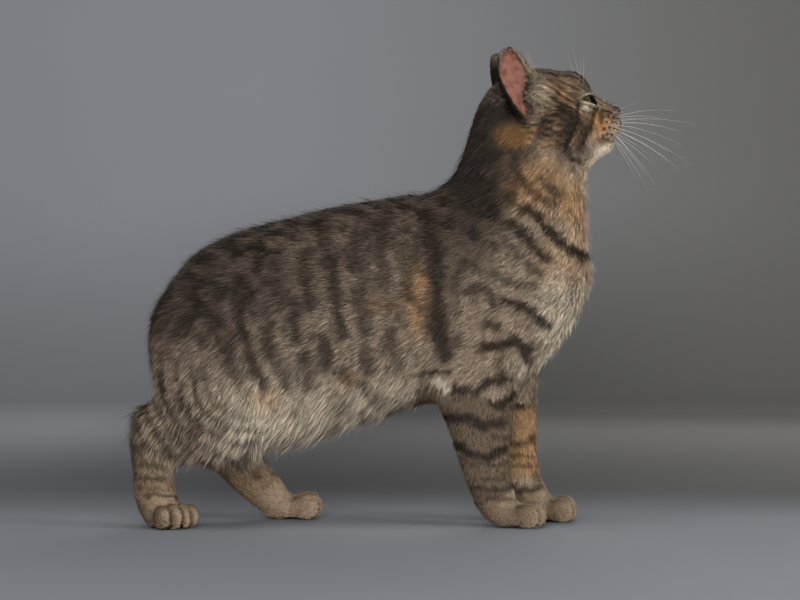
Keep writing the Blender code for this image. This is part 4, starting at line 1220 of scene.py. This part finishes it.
def tuft_mesh(name, found, seed, material):
    """Blades of four points: from the root up to a wider bend, then to a tip that lies along the coat.

    A blade has the markings of the place where its outer part is seen, which hides the roots of others.
    """
    draw = np.random.default_rng(seed)
    roots, sizes, normals = found["points"], found["sizes"], unit(found["normals"])
    count = len(roots)
    length = sizes[:, :1] * draw.uniform(*LENGTH_SPREAD, (count, 1))
    height = sizes[:, 1:2] * draw.uniform(*HEIGHT_SPREAD, (count, 1))
    width = sizes[:, 2:3] * draw.uniform(*WIDTH_SPREAD, (count, 1))
    guard = draw.uniform(0, 1, (count, 1)) < GUARD_SHARE
    grown = zip(GUARD_GROWTH, (length, height, width))
    length, height, width = (np.where(guard, k * size, size) for k, size in grown)
    lies = found["lies"] + LIE_SCATTER * draw.normal(size=(count, 3))
    lies = lies + LIE_SWIRL * np.stack([waves(roots, SWIRL_SIZE, SEED + k) for k in range(3)], axis=1)
    ahead = unit(lies - normals * np.einsum("ij,ij->i", lies, normals)[:, None])
    roll = draw.normal(0, ROLL_SCATTER, (count, 1))
    across = unit(np.cross(ahead, normals)) * np.cos(roll) + normals * np.sin(roll)
    lean = np.stack([waves(roots, CLUMP_SIZE, SEED + 7 + k) for k in range(3)], axis=1)
    lean = lean * CLUMP_LEAN * np.minimum(length / 12.0, 1)
    foot = roots - normals * FOOT_SINK
    bend = roots + ahead * length * BEND_AT + normals * height * BEND_HEIGHT + lean * BEND_LEAN
    tip = roots + ahead * length * TIP_AT + normals * height + lean
    half = across * width / 2
    points = np.stack([foot, bend - half, bend + half, tip], axis=1)
    points[:, :, 2] = np.maximum(points[:, :, 2], FLOOR_GAP)
    corners = np.array(((0, 2, 1), (1, 2, 3)))
    triangles = (np.arange(count)[:, None, None] * 4 + corners).reshape(-1, 3)
    made = mesh_object(name, points.reshape(-1, 3), triangles, material)
    spread = np.array(((0.0, -0.5), (-0.5, 0.0), (0.5, 0.0), (0.0, 0.5))) * TUFT_UV
    each = (found["uvs"][:, None] + spread).reshape(-1, 2)
    layer = made.data.uv_layers.new(name="OFBake")
    layer.data.foreach_set("uv", each[triangles.ravel()].astype(np.float32).ravel())
    shares = markings(roots + ahead * length * SEEN_SHARE, found["owners"])
    # hair in the clefts between the toes is painted dark as shade
    shares[:, 0] = np.maximum(shares[:, 0], CLEFT_PAINTED_SHADE * found["clefts"]) * (1 - found["edge"])
    shares[:, 1] = np.maximum(shares[:, 1], found["edge"])
    colours_to(made.data, "coat", np.repeat(shares, 4, axis=0))
    along = np.tile((0.0, 0.45, 0.45, 1.0), count)
    short = np.clip(sizes[:, 0] / 9, 0.3, 1)
    tone = 0.5 + draw.uniform(-0.5, 0.5, count) * short
    tick = 0.45 + draw.uniform(-0.45, 0.55, count) * (0.4 + 0.6 * short)
    tone, tick = np.repeat(tone, 4), np.repeat(tick, 4)
    colours_to(made.data, "strand", np.stack([along, tone, tick], axis=1))
    return made


def sampled(skin, faces, count, seed):
    """Random places on some faces, as many to each as its area and its share of hair ask."""
    draw = np.random.default_rng(seed)
    corners = skin["triangles"][faces]
    a, b, c = (skin["points"][corners[:, i]] for i in range(3))
    area = np.linalg.norm(np.cross(b - a, c - a), axis=1)
    weight = area * skin["hairy"][corners].mean(1)
    total = np.cumsum(weight)
    chosen = np.searchsorted(total, draw.uniform(0, total[-1], count))
    u, v = draw.uniform(0, 1, (2, count))
    u, v = np.where(u + v > 1, 1 - u, u), np.where(u + v > 1, 1 - v, v)
    shares = np.stack([1 - u - v, u, v], axis=1)[:, :, None]
    corners = corners[chosen]
    found = {key: (skin[key][corners] * shares).sum(1) for key in ("points", "normals", "lies", "sizes")}
    for key in ("clefts", "edge"):
        found[key] = (skin[key][corners] * shares[:, :, 0]).sum(1)
    found["uvs"] = (skin["uvs"][faces[chosen]] * shares).sum(1)
    found["owners"] = skin["owners"][corners[:, 0]]
    return found


def unwrapped(thing):
    """Unwraps the skin by its own shape; gives each face's three places on the map."""
    thing.data.uv_layers.new(name="OFBake")
    bpy.context.view_layer.objects.active = thing
    thing.select_set(True)
    bpy.ops.object.mode_set(mode="EDIT")
    bpy.ops.mesh.select_all(action="SELECT")
    bpy.ops.uv.smart_project(angle_limit=math.radians(66), island_margin=0.003)
    bpy.ops.object.mode_set(mode="OBJECT")
    uvs = np.empty(len(thing.data.loops) * 2, np.float32)
    thing.data.uv_layers["OFBake"].data.foreach_get("uv", uvs)
    return uvs.reshape(-1, 3, 2).astype(float)


def whole_skin():
    """All that the skin is made of, as arrays, with the ears and lids joined to it."""
    points, triangles = refined(joined_flesh())
    points = settle(points, triangles, 3)
    owners = parts_at(points)
    sizes, lies = coat_fields(points, triangles, owners)
    sole = smooth_step(points[:, 2], 1.0, 7.0)
    sizes[:, 1] *= mixed(0.1, 1.0, sole)
    points = points - normals_of(points, triangles) * (sizes[:, 1:2] + GROWTH)
    points = settle(points, triangles, 2)
    normals = normals_of(points, triangles)
    points, lips = carve_face(points, normals)
    clefts = toe_clefts(points)
    points = points - normals * (CLEFT_DEPTH * clefts)[:, None]
    hidden = np.zeros(len(points), bool)
    for side in (1, -1):
        points, behind = open_ear(points, side)
        hidden |= behind
    points[:, 2] = np.maximum(points[:, 2], FLOOR_SKIN)

    nose = np.linalg.norm((to_head(points) - NOSE_PLACE) / NOSE_RADII, axis=1)
    shut = np.minimum(*(opening_share(points, side)[0] for side in (1, -1)))
    near = np.minimum(*(np.linalg.norm(points - eye_centre(side), axis=1) for side in (1, -1)))
    hairy = smooth_step(points[:, 2], 0.6, 2.0) * (1 - lips) * (nose > 1.04)
    hairy = hairy * ((shut > 1.3) | (near > 15)) * (1 - 0.6 * clefts) * ~hidden
    # lips and soles are dark skin; the clefts between the toes are painted dark as shade
    rim = np.max([lips, 1 - sole, CLEFT_PAINTED_SHADE * clefts], axis=0)
    pieces = [{
        "points": points, "triangles": triangles, "owners": owners, "sizes": sizes, "lies": lies,
        "hairy": hairy, "clefts": clefts, "edge": 0 * clefts,
        "bare": np.stack([0 * rim, rim, 0 * rim], axis=1),
    }]
    for side in (1, -1):
        points, triangles, inside, margin = ear_shell(side)
        low = 1 - smooth_step(points[:, 2], GLOW_TO, GLOW_FROM)
        glow = inside * low * (1 - smooth_step(margin, 0.2, 0.42))
        pieces.append({
            "points": points, "triangles": triangles,
            "owners": np.full(len(points), len(FLESH)),
            "sizes": np.tile(COATS["ear"], (len(points), 1)),
            "lies": np.tile(unit(LIES["ear"]), (len(points), 1)),
            "hairy": np.maximum(1 - inside, 0.5 * (margin < 0.08)),
            "clefts": 0 * inside, "edge": EDGE_PALE * inside * (margin < EDGE_SHARE),
            "bare": np.stack([inside, 0 * inside, glow], axis=1),
        })
        points, triangles, rim = lid_ring(side)
        pieces.append({
            "points": points, "triangles": triangles,
            "owners": np.full(len(points), FLESH.index("head")),
            "sizes": np.tile((1.6, 0.5, 0.3), (len(points), 1)),
            "lies": unit(points - NOSE_TIP),
            "hairy": 0.8 * (1 - smooth_step(rim, 0.0, 0.3)), "clefts": 0 * rim, "edge": 0 * rim,
            "bare": np.stack([0 * rim, rim, 0 * rim], axis=1),
        })
    starts = np.cumsum([0] + [len(piece["points"]) for piece in pieces])
    skin = {key: np.concatenate([piece[key] for piece in pieces]) for key in pieces[0] if key != "triangles"}
    skin["triangles"] = np.concatenate([piece["triangles"] + k for piece, k in zip(pieces, starts)])
    skin["normals"] = normals_of(skin["points"], skin["triangles"])
    return skin


def dress():
    """Builds the skin and its coat."""
    skin = whole_skin()
    made = mesh_object("skin", skin["points"], skin["triangles"], skin_under_hair())
    colours_to(made.data, "coat", markings(skin["points"], skin["owners"]))
    colours_to(made.data, "bare", skin["bare"])
    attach(made, "root")
    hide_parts(*FLESH, "ear_right", "ear_left")
    skin["uvs"] = unwrapped(made)
    parts = np.array([part_name(node) for node in FLESH] + ["ear"])
    owner = parts[skin["owners"][skin["triangles"][:, 0]]]
    material = hair("tabby_hair")
    for seed, (name, (covered, count)) in enumerate(COAT_PIECES.items()):
        faces = np.nonzero(np.isin(owner, covered))[0]
        roots = sampled(skin, faces, count, SEED + seed)
        coat = tuft_mesh(name, roots, SEED + 50 + seed, material)
        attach(coat, "root")


def ear_fringe(material):
    """Long pale hairs that spring from the front margin of each cup and fan back over it."""
    draw = np.random.default_rng(SEED + 90)
    paths, radii = [], []
    share = np.linspace(0, 1, 5)[:, None]
    for side in (1, -1):
        along = draw.uniform(0.0, 0.62, FRINGE_HAIRS)
        roots = path_through(EAR_INNER, along) * (1, side, 1)
        roots[:, 0] -= EAR_SWEEP[side] * along ** 2
        roots += draw.normal(0, 1.6, roots.shape)
        spread = draw.normal(0, 0.28, (FRINGE_HAIRS, 3))
        rise = np.array((0, 0, 1.0)) * (along - 0.3)[:, None]
        ways = unit(np.array((-0.62, 0.42 * side, 0.66)) + spread + rise)
        reach = draw.uniform(*FRINGE_REACH, FRINGE_HAIRS)
        for root, way, length in zip(roots, ways, reach):
            bow = np.array((0.0, side * 2.2, -1.5)) * 4 * share * (1 - share)
            paths.append(root + way * length * share + bow)
            radii.append(FRINGE_RADIUS * (1 - 0.8 * share[:, 0]))
    fringe = mesh_object("ear_fringe", *tubes(np.array(paths), np.array(radii), 3), material)
    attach(fringe, "root")


def face():
    """Eyes, nose leather and whiskers."""
    for side, name in ((1, "left"), (-1, "right")):
        eye = eyeball(side)
        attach(eye, "root")
        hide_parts("eye_" + name)
    nose = nose_leather()
    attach(nose, "root")
    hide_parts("nose")
    horn = whisker_horn()
    ear_fringe(pale_hair())
    for name, rows, radius in (
        ("whiskers", WHISKERS, WHISKER_RADIUS),
        ("brow_whiskers", BROW_WHISKERS, BROW_RADIUS),
    ):
        hairs = mesh_object(name, *whisker_hairs(rows, radius), horn)
        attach(hairs, "root")


# The studio.


# The paper, in mm: its near edge, the foot of its wall, the cove's radius, its top and half its width.
PAPER = (-3200.0, 2500.0, 900.0, 4200.0)
PAPER_HALF = 3600
# The lights: name, place, what it faces, size and watts.
LIGHTS = (
    ("key", (-260, -2000, 640), (0, 0, 150), 800, 37.0),
    ("overhead", (-100, -350, 1700), (0, 0, 100), 900, 10.0),
    ("front", (1250, -800, 300), (120, 0, 210), 600, 19.0),
    ("far_side", (300, 1500, 900), (0, 0, 150), 900, 9.0),
    ("backdrop", (-500, 1400, 1700), (100, 3300, 800), 1200, 50.0),
)
SURROUND = "b9bcc2"
SURROUND_STRENGTH = 0.28


def sweep():
    """A pale paper floor that rises behind in a round cove: a profile carried across; painted shade darkens
    its far paper low down and to the right, with a dark painted shadow under and behind the cat.
    """
    near, back, radius, top = PAPER
    turn = np.linspace(0, math.pi / 2, 16)
    profile = np.concatenate([
        [(near, 0.0)],
        np.stack([back + radius * np.sin(turn), radius * (1 - np.cos(turn))], axis=1),
        [(back + radius, top)],
    ])
    across = np.linspace(-PAPER_HALF, PAPER_HALF, 9)
    points = np.array([[(x, y, z) for x in across] for y, z in profile]).reshape(-1, 3)
    paper, tree, shader = finish("paper_floor_painted_shade", 0.9, 0.1)
    place, cloud = clouds(tree, 3.0, 4.0)
    along, behind, up = add(tree, "ShaderNodeSeparateXYZ", {0: place}).outputs
    colour = blend(tree, cloud, "717277", "76777b")
    far = shaped(tree, behind, 0.02, 0.45, 0.0, 1.0)
    # painted shade: the far paper is darker low down
    low = worked(tree, "MULTIPLY", far, shaped(tree, up, 0.0, 0.42, 1.0, 0.0))
    colour = blend(tree, low, colour, "626366")
    # painted shadow: a dark patch low on the far paper, under and behind the cat
    after, before = shaped(tree, along, -0.5, -0.1, 0.0, 1.0), shaped(tree, along, 0.2, 1.4, 1.0, 0.0)
    painted_shadow_behind_cat = worked(tree, "MULTIPLY", after, before)
    colour = blend(tree, worked(tree, "MULTIPLY", low, painted_shadow_behind_cat), colour, "38383a")
    # painted shade: the far paper is darker towards the right, as if less lit
    right = worked(tree, "MULTIPLY", far, shaped(tree, along, -0.4, 0.9, 0.0, 0.8))
    colour = blend(tree, right, colour, "65645f")
    tree.links.new(colour, shader.inputs["Base Color"])
    floor = mesh_object("studio_floor", points, grid_faces(len(profile), len(across), closed=False), paper)


def lamp(name, place, target, size, power):
    """A square soft light that faces a point."""
    light = bpy.data.lights.new(name, "AREA")
    light.shape, light.size, light.energy = "SQUARE", size * MM, power
    held = bpy.data.objects.new(name, light)
    held.location = Vector(place) * MM
    held.rotation_euler = (Vector(target) - Vector(place)).to_track_quat("-Z", "Y").to_euler()
    bpy.context.scene.collection.objects.link(held)


def studio():
    """Floor, soft lights, a grey surround and the photograph's camera."""
    sweep()
    for name, place, target, size, power in LIGHTS:
        lamp(name, place, target, size, power)
    world = bpy.data.worlds.new("surround")
    world.use_nodes = True
    world.node_tree.nodes["Background"].inputs["Color"].default_value = (*linear(SURROUND), 1)
    world.node_tree.nodes["Background"].inputs["Strength"].default_value = SURROUND_STRENGTH
    bpy.context.scene.world = world
    bpy.context.scene.view_settings.view_transform = "Standard"
    camera = bpy.data.cameras.new("camera")
    camera.sensor_width = SENSOR
    camera.lens = FOCAL_PIXELS / IMAGE_WIDTH * SENSOR
    camera.clip_end = 20
    held = bpy.data.objects.new("camera", camera)
    held.location = Vector(CAMERA_PLACE) * MM
    held.rotation_euler = (math.pi / 2, 0, 0)
    bpy.context.scene.collection.objects.link(held)
    bpy.context.scene.camera = held


dress()
face()
studio()
